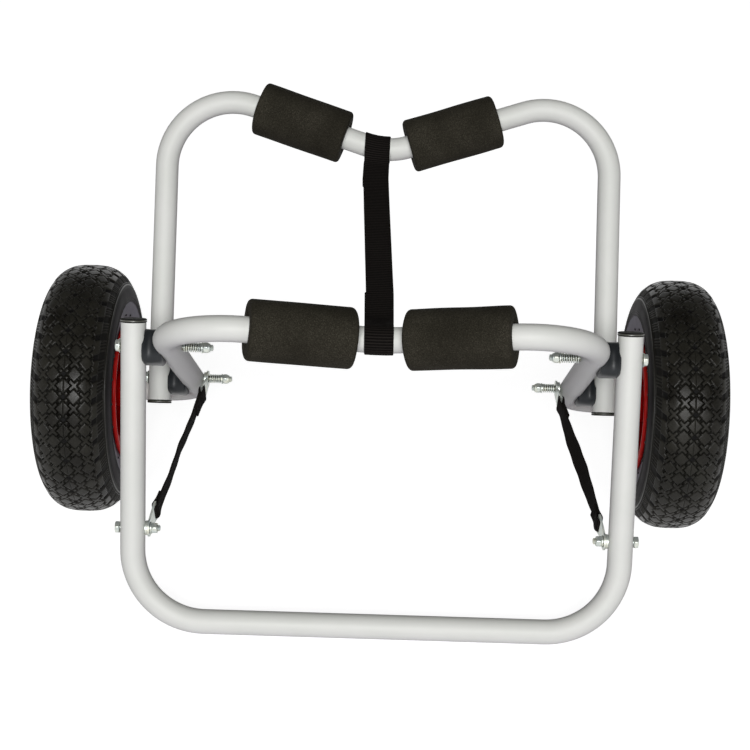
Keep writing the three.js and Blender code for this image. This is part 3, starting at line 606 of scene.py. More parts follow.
def foam_sleeve(seed):
    """A foam sleeve along X with soft rims, dished ends and a slightly uneven skin."""
    rng = np.random.default_rng(seed)
    rim, bore, half = PAD_RIM, TUBE_R + 0.25, PAD_HALF
    profile = [(-half + 1.6, bore), (-half + 0.5, bore + 1.6), (-half, bore + 4.5), (-half, PAD_R - rim)]
    for a in np.radians(np.linspace(15, 90, 6)):
        profile.append((-half + rim - rim * math.cos(a), PAD_R - rim + rim * math.sin(a)))
    profile += [(x, PAD_R) for x in np.linspace(-half + rim + 4, half - rim - 4, 20)]
    profile += [(-x, r) for x, r in profile[:10][::-1]]
    v, f = turned(profile, 72, closed=True)
    radius = np.hypot(v[:, 1], v[:, 2])
    angle = np.arctan2(v[:, 2], v[:, 1])
    wave = 0
    for _ in range(7):
        k, m, phase = rng.uniform(0.02, 0.12), rng.integers(0, 4), rng.uniform(0, 6.28, 2)
        wave += np.sin(v[:, 0] * k + phase[0]) * np.cos(m * angle + phase[1])
    share = np.clip((radius - bore) / (PAD_R - bore), 0, 1)
    scale = 1 + share * (0.09 * wave - 0.10) / radius
    v[:, 1:] *= scale[:, None]
    v[:, 0] += share * 0.25 * np.sin(3 * angle + seed)
    return v, f


def pads():
    layout = (("front_pad_left", "main", main_at, FRONT_VEE, -FRONT_PAD_OUT),
              ("front_pad_right", "main", main_at, FRONT_VEE, FRONT_PAD_OUT),
              ("rear_pad_left", "rear_cradle", cradle_at, REAR_VEE, -REAR_LEFT_PAD_OUT),
              ("rear_pad_right", "rear_cradle", cradle_at, REAR_VEE, REAR_RIGHT_PAD_OUT))
    for seed, (node, body, at, dip, x) in enumerate(layout):
        v, f = foam_sleeve(seed + 3)
        a = math.copysign(math.radians(dip["angle"]), x)
        c, s = math.cos(a), math.sin(a)
        up = dip["bottom"] + abs(x) * dip["slope"]
        local = np.stack([x + v[:, 0] * c - v[:, 1] * s, up + v[:, 0] * s + v[:, 1] * c, v[:, 2]], 1)
        pad = piece(f"{node}_foam", at(local), f, FOAM, body, "black_foam", [node], sharp=70)


# Hinges
# A spacer holds the side straps' tabs off their tubes
TAB_OFF = 2.6
TAB_THICK = 1.8
SPRING_PITCH = 1.95
SPRING_WIRE_R = 0.6
SPRING_R = 3.8


def saddle(up, turn, fold):
    """The left one of two waisted plastic blocks, scooped to sit on the main leg and clear of the arm."""
    over_leg, over_arm, power = 11.3, 6.2, 3.2
    rings = []
    for x in np.linspace(-over_arm, over_leg, 13):
        half = over_arm if x < 0 else over_leg
        waist = 16.2 - 3.4 * math.cos(x / half * math.pi / 2) ** 1.5
        end = min(1.0, 0.93 + (half - abs(x)) * 0.06)
        ring = []
        for a in around(48):
            c, s = math.cos(a), math.sin(a)
            r = (abs(c) ** power + abs(s) ** power) ** (-1 / power)
            ring.append((x, waist * end * r * c, (16.4 if s > 0 else 14.4) * end * r * s))
        rings.append(ring)
    block = piece("block", *loft(rings), PLASTIC)
    # A tube's space for the main leg, and five for the arm's sweep
    angles, clear, away = around(48), TUBE_R + 0.35, TUBE_R + SADDLE_WEB / 2
    space, faces = loft([np.stack([clear * np.cos(angles), np.full(48, y), clear * np.sin(angles)], 1)
                         for y in (-40, 40)])
    cutters = []
    for way, angle in [(1, 0.0)] + [(-1, turn + fold * k / 4) for k in range(5)]:
        turned_space = spin(space, math.radians(angle)) + (way * away, 0, 0)
        cutter = piece("space", turned_space, flipped(faces), PLASTIC)
        cutters.append(cutter)
        modifier = block.modifiers.new("cut", "BOOLEAN")
        modifier.operation = "DIFFERENCE"
        modifier.solver = "EXACT"
        modifier.object = cutter
    shape = bpy.data.meshes.new_from_object(block.evaluated_get(bpy.context.evaluated_depsgraph_get()))
    v = np.array([p.co for p in shape.vertices]) / MM
    f = [tuple(p.vertices) for p in shape.polygons]
    for obj in [block, *cutters]:
        bpy.data.objects.remove(obj)
    return main_at(np.stack([v[:, 0] - MAIN_X - away, v[:, 1] + up, v[:, 2]], 1)), f


def spring(start, length):
    """A coil along X, its ends closed down flat, its wire drawn as a smooth tube."""
    turns = length / SPRING_PITCH
    steps = int(turns * (28))
    t = np.linspace(0, 1, steps)
    ends = np.clip(np.minimum(t, 1 - t) * 6, 0, 1)
    travel = np.cumsum(0.35 + 0.65 * ends)
    travel = (travel - travel[0]) / (travel[-1] - travel[0]) * (length - 2 * SPRING_WIRE_R) + SPRING_WIRE_R
    angle = 2 * math.pi * turns * t
    centre = np.stack([start + travel, SPRING_R * np.cos(angle), SPRING_R * np.sin(angle)], 1)
    rings = []
    for p, d in zip(centre, tangents(centre)):
        outward = np.array([0, p[1], p[2]]) / SPRING_R
        across = np.cross(d, outward)
        rings.append([p + SPRING_WIRE_R * (math.cos(b) * outward + math.sin(b) * across) for b in around(10)])
    return loft(rings)


def hinges():
    """Each arm's hinge on the main leg: saddle, bolt with a painted-shade shank, spring, washer and lock nut.
    In a side's own frame X runs outward from the leg's axis, and every place is worked out from there."""
    stacks = (("stand", STAND_UP, STAND_SLOPE, STAND_FOLD, 16.5, 0.0),
              ("cradle", CRADLE_UP, CRADLE_SLOPE, CRADLE_FOLD, 12.0, TAB_THICK + SEAT_GAP + TAB_OFF))
    for arm, up, slope, fold, spring_length, tab in stacks:
        left_block = saddle(up, slope - MAIN_SLOPE, fold)
        outer = ARM_X - MAIN_X + TUBE_R + SEAT_GAP
        inner = -TUBE_R - SEAT_GAP - tab
        washer = inner - spring_length - SEAT_GAP
        nut = washer - 1.2 - SEAT_GAP
        tip = nut - 6 - 2.6
        head = merge(turned([(outer, 6.3), (outer + 0.7, 6.3), (outer + 0.9, 5.4)], 36),
                     hexagon(10, outer + 0.5, outer + 4.0), thread(3.0, nut - 5.5, tip))
        shank = turned([(outer + 1, 2.8), (nut - 6, 2.8)], 20)
        coil = spring(inner - spring_length, spring_length)
        ring = turned([(washer, 3.3), (washer, 4.8), (washer - 0.2, 5.0), (washer - 1.0, 5.0),
                       (washer - 1.2, 4.8), (washer - 1.2, 3.3)], 40, closed=True)
        collar = turned([(nut - 4.4, 4.1), (nut - 5.3, 4.0), (nut - 5.9, 3.6), (nut - 6.0, 3.2)], 36)
        lock = merge(hexagon(8.8, nut, nut - 4.6), collar)
        forms = (("bolt", "steel", head, 38), ("spring", "coil", coil, 60), ("washer", "ring", ring, 38),
                 ("nut", "lock", lock, 38))
        for label, side in SIDES:
            node = f"{arm}_saddle_{label}"
            block = moved(left_block, (0, 0, 0), -side)
            piece(f"{node}_shell", *block, PLASTIC, "main", "black_plastic", [node], 32)
            origin = main_at([[side * MAIN_X, up]])[0]
            # The shank's dark steel is painted shade from the spring round it.
            piece(f"{arm}_bolt_{label}_shank", *moved(shank, origin, side), SHADED_SHANK, "main", "zinc_steel")
            for kind, form, part, sharp in forms:
                steel(f"{arm}_{kind}_{label}", form, part, origin, side, "main", sharp)


def strap_bolts():
    """The bolts low on the kickstand's legs, with flanged nuts, that hold the side straps' lower tabs."""
    outer = TUBE_R + SEAT_GAP
    inner = -outer - TAB_THICK - SEAT_GAP - TAB_OFF
    bolt = merge(hexagon(10, outer, outer + 4), turned([(TUBE_R, 2.95), (inner - 6, 2.95)], 20),
                 thread(3.0, inner - 5.5, inner - 8.6))
    nut = merge(turned([(inner, 3.2), (inner, 5.4), (inner - 0.9, 5.4), (inner - 1.3, 4.8)], 40),
                hexagon(9, inner - 0.9, inner - 6.0))
    for label, side in SIDES:
        origin = stand_at([[side * ARM_X, -STRAP_BOLT_DOWN]])[0]
        steel(f"strap_bolt_{label}", "steel", bolt, origin, side, "kickstand")
        steel(f"strap_nut_{label}", "flange", nut, origin, side, "kickstand")


# Webbing
def soften(values):
    """Draws each value but the first and the last toward the mean of its neighbours."""
    values[1:-1] = values[1:-1] * 0.5 + (values[:-2] + values[2:]) * 0.25


def smooth_path(points, step):
    """Even small steps along a polyline, softened so that its corners are round."""
    points = np.asarray(points, float)
    length = np.concatenate([[0], np.cumsum(np.linalg.norm(np.diff(points, axis=0), axis=1))])
    count = int(length[-1] / step) + 1
    even = np.linspace(0, length[-1], count)
    path = np.stack([np.interp(even, length, column) for column in points.T], 1)
    for _ in range(6):
        soften(path)
    return path


def ribbon(path, width, thick, place, shape):
    """Webbing along a flat path [along, face], with rounded edges. place turns [along, face, wide] into the
    CAD model's frame, and shape narrows it and shifts it sideways. Gives verts, faces and UVs."""
    t = tangents(path)
    normal = np.stack([-t[:, 1], t[:, 0]], 1)
    half, h = width / 2, thick / 2
    edge, crown = half - h * 0.6, h * 1.05
    back = [(-edge, -h), (-half * 0.5, -crown), (0, -h), (half * 0.5, -crown), (edge, -h), (half, 0)]
    section = back + [(-u, -v) for u, v in back]
    travel = np.concatenate([[0], np.cumsum(np.linalg.norm(np.diff(path, axis=0), axis=1))])
    rings, uvs = [], []
    for i, (p, n) in enumerate(zip(path, normal)):
        squeeze, shift = shape(travel[i], travel[-1])
        rings.append([place(p[0] + n[0] * v, p[1] + n[1] * v, u * squeeze + shift) for u, v in section])
        uvs += [(travel[i], u) for u, v in section]
    v, f = loft(rings)
    return v, f, uvs


def loop_path(length, eye, laps, thick):
    """A strap's route between two bars, edge on: its end sewn down, round one bar, across, and round the
    other. eye is half the room that each loop leaves for its bar, along the run and across it."""
    tip_share = 2.2
    h = thick / 2
    a, c = eye[0] + h, eye[1] + h
    neck = a * 2.1
    leave = math.acos(1 / tip_share)
    arc = [(a * math.cos(t), c * math.sin(t)) for t in np.linspace(leave, 2 * math.pi - leave, 22)]
    near, far = ([(lap, h * 1.1), (neck + 3, h * 1.1), (neck, h * 1.2), *arc, (neck, -h * 1.2),
                  (neck + 3, -h * 1.1)] for lap in laps)
    return [*near, *[(length - x, -y) for x, y in far][::-1]]


def strap_piece(name, path, width, thick, place, shape, stitches, mat):
    """A strap with its rows of stitches, each row given as [along, face, width]."""
    v, f, uv = ribbon(path, width, thick, place, shape)
    v, f = merge((v, f), *[stitch_row(place, *row) for row in stitches])
    uv += [(0.0, 0.0)] * (len(v) - len(uv))
    return piece(f"{name}_webbing", v, f, mat, None, "black_webbing", [name], 60, uv)


# The straps' widths, and how much of each is sewn back: at the front bar and the rear, or at the upper tab
# and the lower one
CENTRE_WIDTH = 25.0
CENTRE_LAPS = (60, 60)
SIDE_WIDTH = 17.5
SIDE_LAPS = (22, 16)

# How far the centre strap's middle lies from the frame's, along its run from the front bar to the rear
STRAP_RUN_PLACES = (0, 60, 120, 180, 230, 262, 300)
STRAP_SHIFTS = (-2.0, -3.2, -6.0, -8.6, -10.5, -10.2, -9.0)


def centre_strap():
    front = main_at([[0, FRONT_VEE["bottom"] + FRONT_VEE["rise"]]])[0]
    rear = cradle_at([[0, REAR_VEE["bottom"] + REAR_VEE["rise"]]])[0]
    run = rear - front
    length = float(np.linalg.norm(run))
    along = run / length
    face = np.array([0, -along[2], along[1]])
    ups = [at([[0, 1]])[0] - at([[0, 0]])[0] for at in (main_at, cradle_at)]

    def place(x, y, w):
        near, far = (np.clip(1 - from_bar / 40, 0, 1) for from_bar in (x, length - x))
        w = w + np.interp(x, STRAP_RUN_PLACES, STRAP_SHIFTS)
        # Near each bar the strap bows across its width, as the bar's bend does
        bow = w * w / (2 * 62)
        ripple = 0.5 * math.sin(x / 23 + 1.0) + 0.35 * math.sin(x / 9 + w / 20)
        free = np.clip(min(x, length - x) / 60 - 0.3, 0, 1)
        lift = ups[0] * bow * near + ups[1] * bow * far
        return front + along * x + face * (y + ripple * free) + (w, 0, 0) + lift

    def shape(s, total):
        middle = math.sin(math.pi * (s / total))
        return 1.0 - 0.03 * middle, 0.8 * math.sin(s / total * 5.2)

    path = smooth_path(loop_path(length, (11.6, 11.6), CENTRE_LAPS, 1.6), 1.6)
    stitches = [row for x in (30, 56) for row in ((x, 2.2, 20), (length - x, -2.2, 20))]
    strap = strap_piece("centre_strap", path, CENTRE_WIDTH, 1.5, place, shape, stitches, CENTRE_WEB)
    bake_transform(strap)


def stitch_row(place, x, y, width):
    """A row of short raised stitches across a strap."""
    parts = []
    for w in np.arange(-width / 2, width / 2, 3.2):
        rings = []
        for k in np.linspace(0, 1, 5):
            lift = y * (1 + 0.16 * math.sin(math.pi * k)) - math.copysign(0.35, y)
            ring = []
            for a in around(6):
                ring.append(place(x + 0.35 * math.cos(a), lift + 0.3 * math.sin(a), w + 2.3 * k))
            rings.append(ring)
        parts.append(loft(rings))
    return merge(*parts)


# The right side strap's two tabs on their bolts, the way the strap runs between them in [y, z], and how
# far from its bolt each tab bends and has its bar
TAB_IN = TUBE_R + SEAT_GAP + TAB_THICK / 2 + TAB_OFF
HINGE_EYE = main_at([[MAIN_X - TAB_IN, CRADLE_UP]])[0]
STRAP_EYE = stand_at([[ARM_X - TAB_IN, -STRAP_BOLT_DOWN]])[0]
STRAP_RUN = (STRAP_EYE - HINGE_EYE)[1:] / np.linalg.norm((STRAP_EYE - HINGE_EYE)[1:])
TAB_BAR = 20.0
TAB_BEND = 5.0
TAB_LEAN = 0.2


def strap_tab(run, lean):
    """A tab: a flat ring round its bolt, and a slotted arm that runs along [y, z] and leans sideways."""
    half, soft, hole = TAB_THICK / 2, 0.3, 3.2
    edge, wall = half - soft, half + TAB_OFF

    def bar(*ends):
        rings = []
        for s, low, high in ends:
            section = [(-half, low + soft), (-half, high - soft), (-edge, high), (edge, high),
                       (half, high - soft), (half, low + soft), (edge, low), (-edge, low)]
            rings.append([(x + lean * max(0.0, s - TAB_BEND), s, w) for x, w in section])
        return loft(rings)

    ring = [(-half, hole), (-half, 7.6), (-edge, 7.9), (edge, 7.9), (half, 7.6), (half, hole)]
    spacer = [(half, hole), (half, 6.2), (half + soft, 6.5), (wall - soft, 6.5), (wall, 6.2), (wall, hole)]
    neck = bar((4.5, -6.4, 6.4), (5.5, -6.7, 6.7), (14.4, -9.8, 9.8))
    upper_cheek = bar((14.0, 7.3, 9.7), (19.0, 9.4, 11.7), (21.4, 9.2, 11.4))
    lower_cheek = bar((14.0, -9.7, -7.3), (19.0, -11.7, -9.4), (21.4, -11.4, -9.2))
    end_bar = bar((18.6, -11.4, 11.4), (21.5, -11.1, 11.1))
    v, f = merge(turned(ring, 40, True), turned(spacer, 32, True), neck, upper_cheek, lower_cheek, end_bar)
    return spin(v, math.atan2(run[1], run[0])), f


def side_straps():
    reach = np.array([TAB_LEAN * (TAB_BAR - TAB_BEND), *(STRAP_RUN * TAB_BAR)])
    upper, lower = strap_tab(STRAP_RUN, TAB_LEAN), strap_tab(-STRAP_RUN, -TAB_LEAN)
    for label, side in SIDES:
        steel(f"hinge_tab_{label}", "plate", upper, HINGE_EYE * (side, 1, 1), side, "main")
        steel(f"strap_tab_{label}", "plate", lower, STRAP_EYE * (side, 1, 1), side, "kickstand")
    for label, side in SIDES:
        side_strap(label, side, (HINGE_EYE + reach) * (side, 1, 1), (STRAP_EYE - reach) * (side, 1, 1))


def side_strap(label, side, start, end):
    """A strap between the bars of two tabs, which leans and ripples between them."""
    run = end - start
    length = float(np.linalg.norm(run))
    along = run / length
    wide = np.cross(along, (1.0, 0, 0))
    wide /= np.linalg.norm(wide)
    face = np.cross(wide, along)
    lean = 0.45 if side > 0 else 0.05

    def place(x, y, w):
        free = math.sin(math.pi * float(np.clip((x - 8) / (length - 16), 0, 1)))
        a = lean * free
        wave = 0.7 * math.sin(x / 13 + side) * free + 0.25 * math.sin(x / 4.1) * free
        u = w * math.cos(a) - y * math.sin(a)
        n = w * math.sin(a) + y * math.cos(a)
        return start + along * x + wide * u + face * (n + wave)

    def shape(s, total):
        middle = np.clip(math.sin(math.pi * (s / total)) * 1.6 - 0.35, 0, 1)
        return 1.0 - 0.1 * middle, 0.5 * math.sin(s / 11.0)

    path = smooth_path(loop_path(length, (2.6, 1.8), SIDE_LAPS, 1.7), 1.2)
    stitches = [row for x, back in ((10, 9), (19, 13)) for row in ((x, 2.3, 12), (length - back, -2.3, 12))]
    strap = strap_piece(f"side_strap_{label}", path, SIDE_WIDTH, 1.6, place, shape, stitches, SIDE_WEB)
    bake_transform(strap)


# Wheels
# The tread's pitches round the tyre, half a diamond's width across it, and where its parts end, measured
# along the skin from the seam: diamonds, shoulder notches, fine ridges and the tread's own mesh
PITCHES = 36
ACROSS = 10.2
DIAMONDS_END = 26.5
NOTCHES_END = 34.0
RIDGES_END = 41.5
TREAD_EDGE = 48.0
CROWN_R = 126.35
# Out to this radius the sidewall is painted pale, a painted reflection
PAINTED_REFLECTION_RING_R = 90.0
VALVE_X = 14.0


def wall_profile():
    """Half of the tyre's outside, from the crown to the bead: the arc from the crown, x, and radius."""
    marks = np.array([(0, CROWN_R), (8, 126.2), (16.4, 125.2), (24, 121.9), (30.2, 116.9), (35.0, 109.5),
                      (37.9, 101.5), (38.9, 95.0), (38.5, 89.0), (37.0, 82.5), (35.2, 76.0), (33.9, 71.0),
                      (33.2, 67.0)])
    t = np.linspace(0, 1, len(marks))
    fine = np.linspace(0, 1, 600)
    x, r = np.interp(fine, t, marks[:, 0]), np.interp(fine, t, marks[:, 1])
    for _ in range(900):
        soften(x)
        soften(r)
        r[0] = r[1]
    r += CROWN_R - r[0]
    s = np.concatenate([[0], np.cumsum(np.hypot(np.diff(x), np.diff(r)))])
    return s, x, r


def within(distance, reach, soft):
    """1 up to a distance, falling to 0 at the reach."""
    return np.clip((reach - distance) / soft, 0, 1)


def beyond(distance, start, soft):
    """0 up to the start, rising to 1 over a distance."""
    return np.clip((distance - start) / soft, 0, 1)


def tread_depth(s, a, pitch):
    """How deep each place lies in the skin, from 0 to 1: s goes across from the seam, a round the tyre."""
    groove_half, tab_half = 2.6, 1.75
    side = np.sqrt(1 / ACROSS ** 2 + 4 / pitch ** 2)
    step = math.hypot(ACROSS, pitch / 2)
    groove = np.zeros_like(s)
    tab = np.zeros_like(s)
    u, v = s / ACROSS + 2 * a / pitch, s / ACROSS - 2 * a / pitch
    for line, other in ((u, v), (v, u)):
        off = abs(line - 2 * np.round(line / 2)) / side
        along = other / 2
        near = abs(along - np.round(along)) * step
        groove = np.maximum(groove, within(off, groove_half, 0.6) * within(near, 7.35, 0.5))
        tab = np.maximum(tab, within(off, tab_half, 0.45) * within(near, 6.45, 0.5))
    deep = groove * (1 - tab)
    # The seam column's crossings are hollow, with four tabs round them, and the seam is a fine line
    k = abs(2 * a / pitch - 2 * np.round(a / pitch)) * pitch / 2
    deep = np.maximum(deep, within(np.hypot(s, k), 3.0, 0.8))
    away = abs(s)
    deep = np.maximum(deep, within(away, 0.55, 0.4) * 0.35)
    # Beyond the diamonds: shoulder notches, then groups of fine oblique ridges, then two lines round the tyre
    outer = beyond(away, DIAMONDS_END, 1.5)
    deep *= 1 - outer
    phase = ((a + (away - DIAMONDS_END) * 0.55) / pitch + 0.25) % 1.0
    notch = within(abs(phase - 0.5), 0.17, 0.04) * outer * within(away, NOTCHES_END, 1.0)
    ridge_zone = beyond(away, NOTCHES_END - 1, 0.8) * within(away, RIDGES_END, 0.8)
    ridges = 0.5 - 0.5 * np.cos(2 * math.pi * phase * 6)
    group = within(abs(phase), 0.33, 0.04) + within(abs(phase - 1), 0.33, 0.04)
    deep = np.maximum.reduce([deep, notch, ridge_zone * (0.85 - 0.75 * ridges * group)])
    for place, share in ((42.3, 0.8), (46.9, 0.2)):
        deep = np.maximum(deep, share * within(abs(away - place), 0.9, 0.5))
    return deep


def tyre():
    """The tread as a fine grid sunk along the skin's normal, and two smooth walls. Gives verts, faces, each
    point's share of groove, painted dark as shade, or of the pale ring, a painted reflection, and how many
    faces are tread."""
    s_all, x_all, r_all = wall_profile()
    columns = PITCHES * 32
    rows = 145
    angles = around(columns)
    s, a = np.meshgrid(np.linspace(-TREAD_EDGE, TREAD_EDGE, rows), angles, indexing="ij")
    away, way = abs(s), np.sign(s)
    pitch = 2 * math.pi * CROWN_R / PITCHES
    deep = tread_depth(s, a * CROWN_R % (pitch * PITCHES), pitch)
    tilt = np.interp(away, s_all, np.gradient(r_all, s_all))
    sunk = deep * np.interp(away, (30, 36), (1.7, 1.1))
    x = way * np.interp(away, s_all, x_all) + sunk * tilt * way
    r = np.interp(away, s_all, r_all) - sunk * np.sqrt(np.clip(1 - tilt ** 2, 0, 1))
    tread = np.stack([x, r * np.cos(a), r * np.sin(a)], -1).reshape(-1, 3)
    faces = quads(rows, columns)
    # Past 44.5 mm the tread's edge strip is marked 0.8 deep and so painted dark: painted shade that dims its
    # reflection.
    parts, values = [(tread, faces)], [np.maximum(deep, 0.8 * (away > 44.5)).ravel()]
    # Smooth sidewalls with concentric ribs, each tucked just under the tread's edge
    wall_columns = 180
    arc = np.linspace(TREAD_EDGE - 0.6, s_all[-1], 90)
    rib = 0.3 * np.sin((arc - 56) * 2 * math.pi / 2.4) * ((arc > 56) & (arc < 63.2))
    half = np.stack([np.interp(arc, s_all, x_all) + rib, np.interp(arc, s_all, r_all)], 1)
    half = np.concatenate([half, [(32.4, 65.4), (31.0, 64.0)]])
    for side in (-1, 1):
        v, f = turned(half, wall_columns)
        parts.append(moved((v, f[:-2]), (0, 0, 0), side))
        # The walls' values mark the pale ring by the rim, a painted reflection.
        values.append(np.repeat(within(half[:, 1], PAINTED_REFLECTION_RING_R, 1.2), wall_columns))
    v, f = merge(*parts)
    return v, f, np.concatenate(values), len(faces)


def wheels():
    v, f, groove, tread_faces = tyre()
    for label, side in SIDES:
        origin = np.array([side * WHEEL_X[label], *AXLE])
        body = f"wheel_{label}"
        node = f"tyre_{label}"
        skin = moved((v, f), origin, side)
        obj = piece(f"{node}_rubber", *skin, TREAD, body, "black_tyre", [node], 50, groove=groove)
        obj.data.materials.append(WALL)
        in_wall = np.arange(len(obj.data.polygons)) >= tread_faces
        obj.data.polygons.foreach_set("material_index", in_wall.astype(np.int32))
        for part in (rim, hub, inner_tube):
            part(label, side, origin, body)


def inner_tube(label, side, origin, body):
    """The tube inside the tyre, with its valve stem through the outer rim half."""
    oval = [(28 * math.cos(t), 91 + 20 * math.sin(t)) for t in around(20)]
    v, f = turned([(31.0, 0.4), (31.0, 2.9), (31.5, 3.3), (37.4, 3.4), (37.8, 2.6), (39.6, 2.6), (40.2, 3.6),
                   (62.0, 3.8)], 24)
    stem = np.stack([VALVE_X + v[:, 2], v[:, 1], v[:, 0]], 1), f
    both = moved(merge(turned(oval, 64, closed=True), stem), origin, side)
    node = f"inner_tube_{label}"
    piece(f"{node}_rubber", *both, GREY, body, "grey_rubber", [node])


def ring_of(part, count, start, out, way):
    """Copies of a part round the axle, each moved out from it, on the wheel's outer or inner side."""
    placed = (part[0] + (0, out, 0)) * (way, 1, 1)
    return merge(*[(spin(placed, 2 * math.pi * (k + start) / count), part[1]) for k in range(count)])


def rim(label, side, origin, body):
    """Both rim halves as pressed dishes: a rolled lip, a flange, a barrel, a web with bolts, and the hub's
    boss. The small dots on the tyre's pale ring, a painted reflection, are here too."""
    lip = [(36.3 + 2.2 * math.cos(t), 68.2 + 2.2 * math.sin(t)) for t in np.radians(range(-110, 200, 15))]
    lip += [(34.0, 66.9), (34.4, 65.8)]
    face = [(35.3, 66.2), (35.0, 62.4), (34.7, 57.6), (34.3, 53.4), (33.0, 50.6), (29.5, 48.6), (24.0, 47.4),
            (18.0, 45.6), (13.0, 41.8), (10.0, 36.0), (8.6, 31.5), (8.2, 27.0), (9.2, 23.4), (12.5, 21.0),
            (18.0, 19.6), (27.0, 18.8), (34.5, 18.4), (36.0, 17.6), (36.0, 14.4)]
    back = [(0.2, 14.4), (0.2, 49.2), (24.0, 49.6), (30.0, 51.0), (32.4, 54.0), (33.2, 58.4), (33.6, 66.0),
            (34.6, 67.0)]
    dot = turned([(35.0, 1.2), (36.4, 1.1), (36.6, 0.6)], 10)
    bolt = merge(turned([(8.4, 6.0), (9.3, 6.0), (9.5, 5.4)], 28), hexagon(10, 9.2, 13.2),
                 thread(3.0, 13, 16))
    for half, way in (("outer", 1), ("inner", -1)):
        node = f"rim_{half}_{label}"
        for name, profile, mat, stands in (("lip", lip, LIP, ()), ("dish", face + back, RED, [node])):
            part = moved(turned(profile, 96, closed=True), (0, 0, 0), way)
            piece(f"{node}_{name}", *moved(part, origin, side), mat, body, "red_rim", stands, 45)
        dots, bolts = ring_of(dot, 20, 0.3, 76.5, way), ring_of(bolt, 4, 0.5, 30.5, way)
        piece(f"{node}_marks", *moved(dots, origin, side), GREY, body, "black_plastic")
        piece(f"{node}_bolts", *moved(bolts, origin, side), ZINC, body, "zinc_steel")


def hub(label, side, origin, body):
    """Flanged bearings, the axle stub with its shoulders, its washer and its nut."""
    race = [(26, 6.5), (26, 13.8), (36.3, 13.8), (36.3, 16.6), (36.7, 17.0), (38.0, 17.0), (38.4, 16.6),
            (38.4, 12.4), (37.9, 12.0), (37.9, 9.4), (38.4, 9.0), (38.4, 6.5)]
    for half, way in (("outer", 1), ("inner", -1)):
        part = turned([(way * x, r) for x, r in race], 64, closed=True)
        steel(f"bearing_{half}_{label}", "race", part, origin, side, body)
    end = AXLE_TUBE_END - WHEEL_X[label]
    stub = [(end - 18, 9.0), (end + 0.3, 9.0), (end + 0.3, 10.8), (end + 0.8, 11.2), (end + 2.8, 11.2),
            (end + 3.3, 10.6), (end + 3.6, 8.8), (-38.9, 8.6), (-38.6, 8.3), (-38.6, 6.0), (46, 6.0)]
    washer = [(38.7, 6.3), (38.7, 11.8), (39.0, 12.0), (40.3, 12.0), (40.6, 11.8), (40.6, 6.3)]
    nut_at = washer[-1][0] + SEAT_GAP
    collar = [(nut_at + 9.4, 8.7), (nut_at + 10.6, 8.6), (nut_at + 11.0, 7.6), (nut_at + 11.0, 6.2)]
    axle = merge(turned(stub, 48), thread(6.0, 45, nut_at + 13.6, 1.25))
    nut = merge(hexagon(19, nut_at, nut_at + 9.6), turned(collar, 48))
    steel(f"axle_{label}", "stub", axle, origin, side, "main")
    steel(f"axle_washer_{label}", "ring", turned(washer, 56, closed=True), origin, side, "main")
    steel(f"axle_nut_{label}", "lock", nut, origin, side, "main")


frame_tubes()
caps()
pads()
hinges()
strap_bolts()
centre_strap()
side_straps()
wheels()


# Floor, light and camera
FLOOR_Z = -0.4
FLOOR_SIZE = 12000.0


def surround_rays(owner):
    """1 for rays that show the pale surround as it is, and 0 for those that only light the object."""
    rays = add(owner, "ShaderNodeLightPath").outputs
    shine = math_node(owner, "MAXIMUM", rays["Is Glossy Ray"], rays["Is Transmission Ray"])
    return math_node(owner, "MAXIMUM", rays["Is Camera Ray"], shine)


def floor():
    """A pale floor that shows white apart from the object's shadow."""
    mat = material("floor", (0.52, 0.485, 0.59), 0.9, specular=0.0)
    shown = add(mat, "ShaderNodeBsdfDiffuse", Color=(0.5, 0.5, 0.5, 1))
    glow = add(mat, "ShaderNodeEmission", Strength=0.9)
    both = add(mat, "ShaderNodeAddShader")
    wire(mat, shown.outputs["BSDF"], both.inputs[0])
    wire(mat, glow.outputs["Emission"], both.inputs[1])
    mix = add(mat, "ShaderNodeMixShader", Fac=surround_rays(mat))
    wire(mat, shader_of(mat).outputs["BSDF"], mix.inputs[1])
    wire(mat, both.outputs["Shader"], mix.inputs[2])
    wire(mat, mix.outputs["Shader"], mat.node_tree.nodes["Material Output"].inputs["Surface"])
    corners = [(x * FLOOR_SIZE, y * FLOOR_SIZE, FLOOR_Z) for x, y in ((-1, -1), (1, -1), (1, 1), (-1, 1))]
    obj = piece("floor", corners, [(0, 1, 2, 3)], mat)
    obj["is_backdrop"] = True


def lamp(name, kind, power, place, toward):
    data = bpy.data.lights.new(name, kind)
    data.energy = power
    obj = linked(name, data)
    obj.location = place
    obj.rotation_euler = toward.to_track_quat("Z", "Y").to_euler()
    return data


def far_light(name, azimuth, elevation, spread, power):
    """A far soft light: azimuth 0 stands in front of the object, and spread is how wide it looks."""
    a, e = math.radians(azimuth), math.radians(elevation)
    toward = Vector((math.sin(a) * math.cos(e), -math.cos(a) * math.cos(e), math.sin(e)))
    lamp(name, "SUN", power, toward * 3, toward).angle = math.radians(spread)


def front_light(place, aim, size, power):
    """A square soft box behind the camera."""
    data = lamp("front", "AREA", power, place, Vector(place) - Vector(aim))
    data.shape = "SQUARE"
    data.size = size


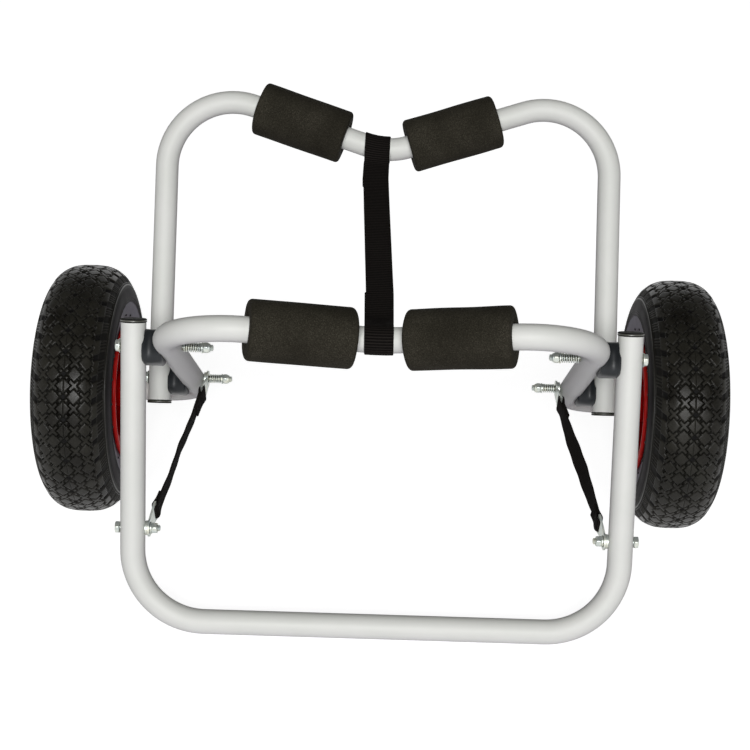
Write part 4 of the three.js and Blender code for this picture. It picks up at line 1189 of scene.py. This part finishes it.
def world():
    """A pale room: white at eye level and greyer overhead as it is seen, with a low even light from it."""
    scene = bpy.context.scene
    room = scene.world = bpy.data.worlds.new("studio")
    room.use_nodes = True
    direction = add(room, "ShaderNodeTexCoord").outputs["Generated"]
    height = add(room, "ShaderNodeSeparateXYZ", Vector=direction).outputs["Z"]
    strength = add(room, "ShaderNodeMix", data_type="FLOAT", Factor=surround_rays(room))
    strength.inputs[2].default_value = 0.03
    wire(room, span(room, height, 1.0, 0.14, 0.1, 0.5), strength.inputs[3])
    background = room.node_tree.nodes["Background"]
    background.inputs["Color"].default_value = (1, 1, 1, 1)
    wire(room, strength.outputs[0], background.inputs["Strength"])
    scene.view_settings.view_transform = "Standard"


# The camera as the fit gives it: its turn in degrees, its place in millimetres, and how far away, in the
# photograph's pixels, a thing looks as large as it is
CAMERA_TURN = (-0.89, 23.53, 1.27)
CAMERA_AT = (12.68, -1234.89, 718.2)
FOCAL_PIXELS = 1394.39
PHOTO_WIDTH = 750
SENSOR = 36


def camera():
    """The photograph's camera, from the fit of the frame's lengths to points measured in it."""
    yaw, pitch, roll = (math.radians(a) for a in CAMERA_TURN)
    ahead = Vector((math.sin(yaw) * math.cos(pitch), math.cos(yaw) * math.cos(pitch), -math.sin(pitch)))
    right = Vector((math.cos(yaw), -math.sin(yaw), 0))
    up = right.cross(ahead)
    tilted_right = right * math.cos(roll) + up * math.sin(roll)
    tilted_up = up * math.cos(roll) - right * math.sin(roll)
    data = bpy.data.cameras.new("camera")
    data.sensor_width = SENSOR
    data.lens = FOCAL_PIXELS * SENSOR / PHOTO_WIDTH
    data.clip_end = 50
    basis = Matrix((tilted_right, tilted_up, -ahead)).transposed().to_4x4()
    basis.translation = Vector(CAMERA_AT) * MM
    obj = linked("camera", data)
    obj.matrix_world = basis
    bpy.context.scene.camera = obj


floor()
world()
far_light("key right", 9, 23, 13, 0.86)
far_light("key left", -9, 23, 13, 0.74)
far_light("low fill", 0, 6, 25, 0.25)
far_light("back fill", 180, 8, 40, 0.25)
front_light((0.0, -1.78, 0.92), (0, 0, 0.2), 0.5, 12.0)
camera()

boxes = {"cad": cad_box, "visual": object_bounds()}
{key: [[float(c) for c in corner] for corner in value] for key, value in boxes.items()}
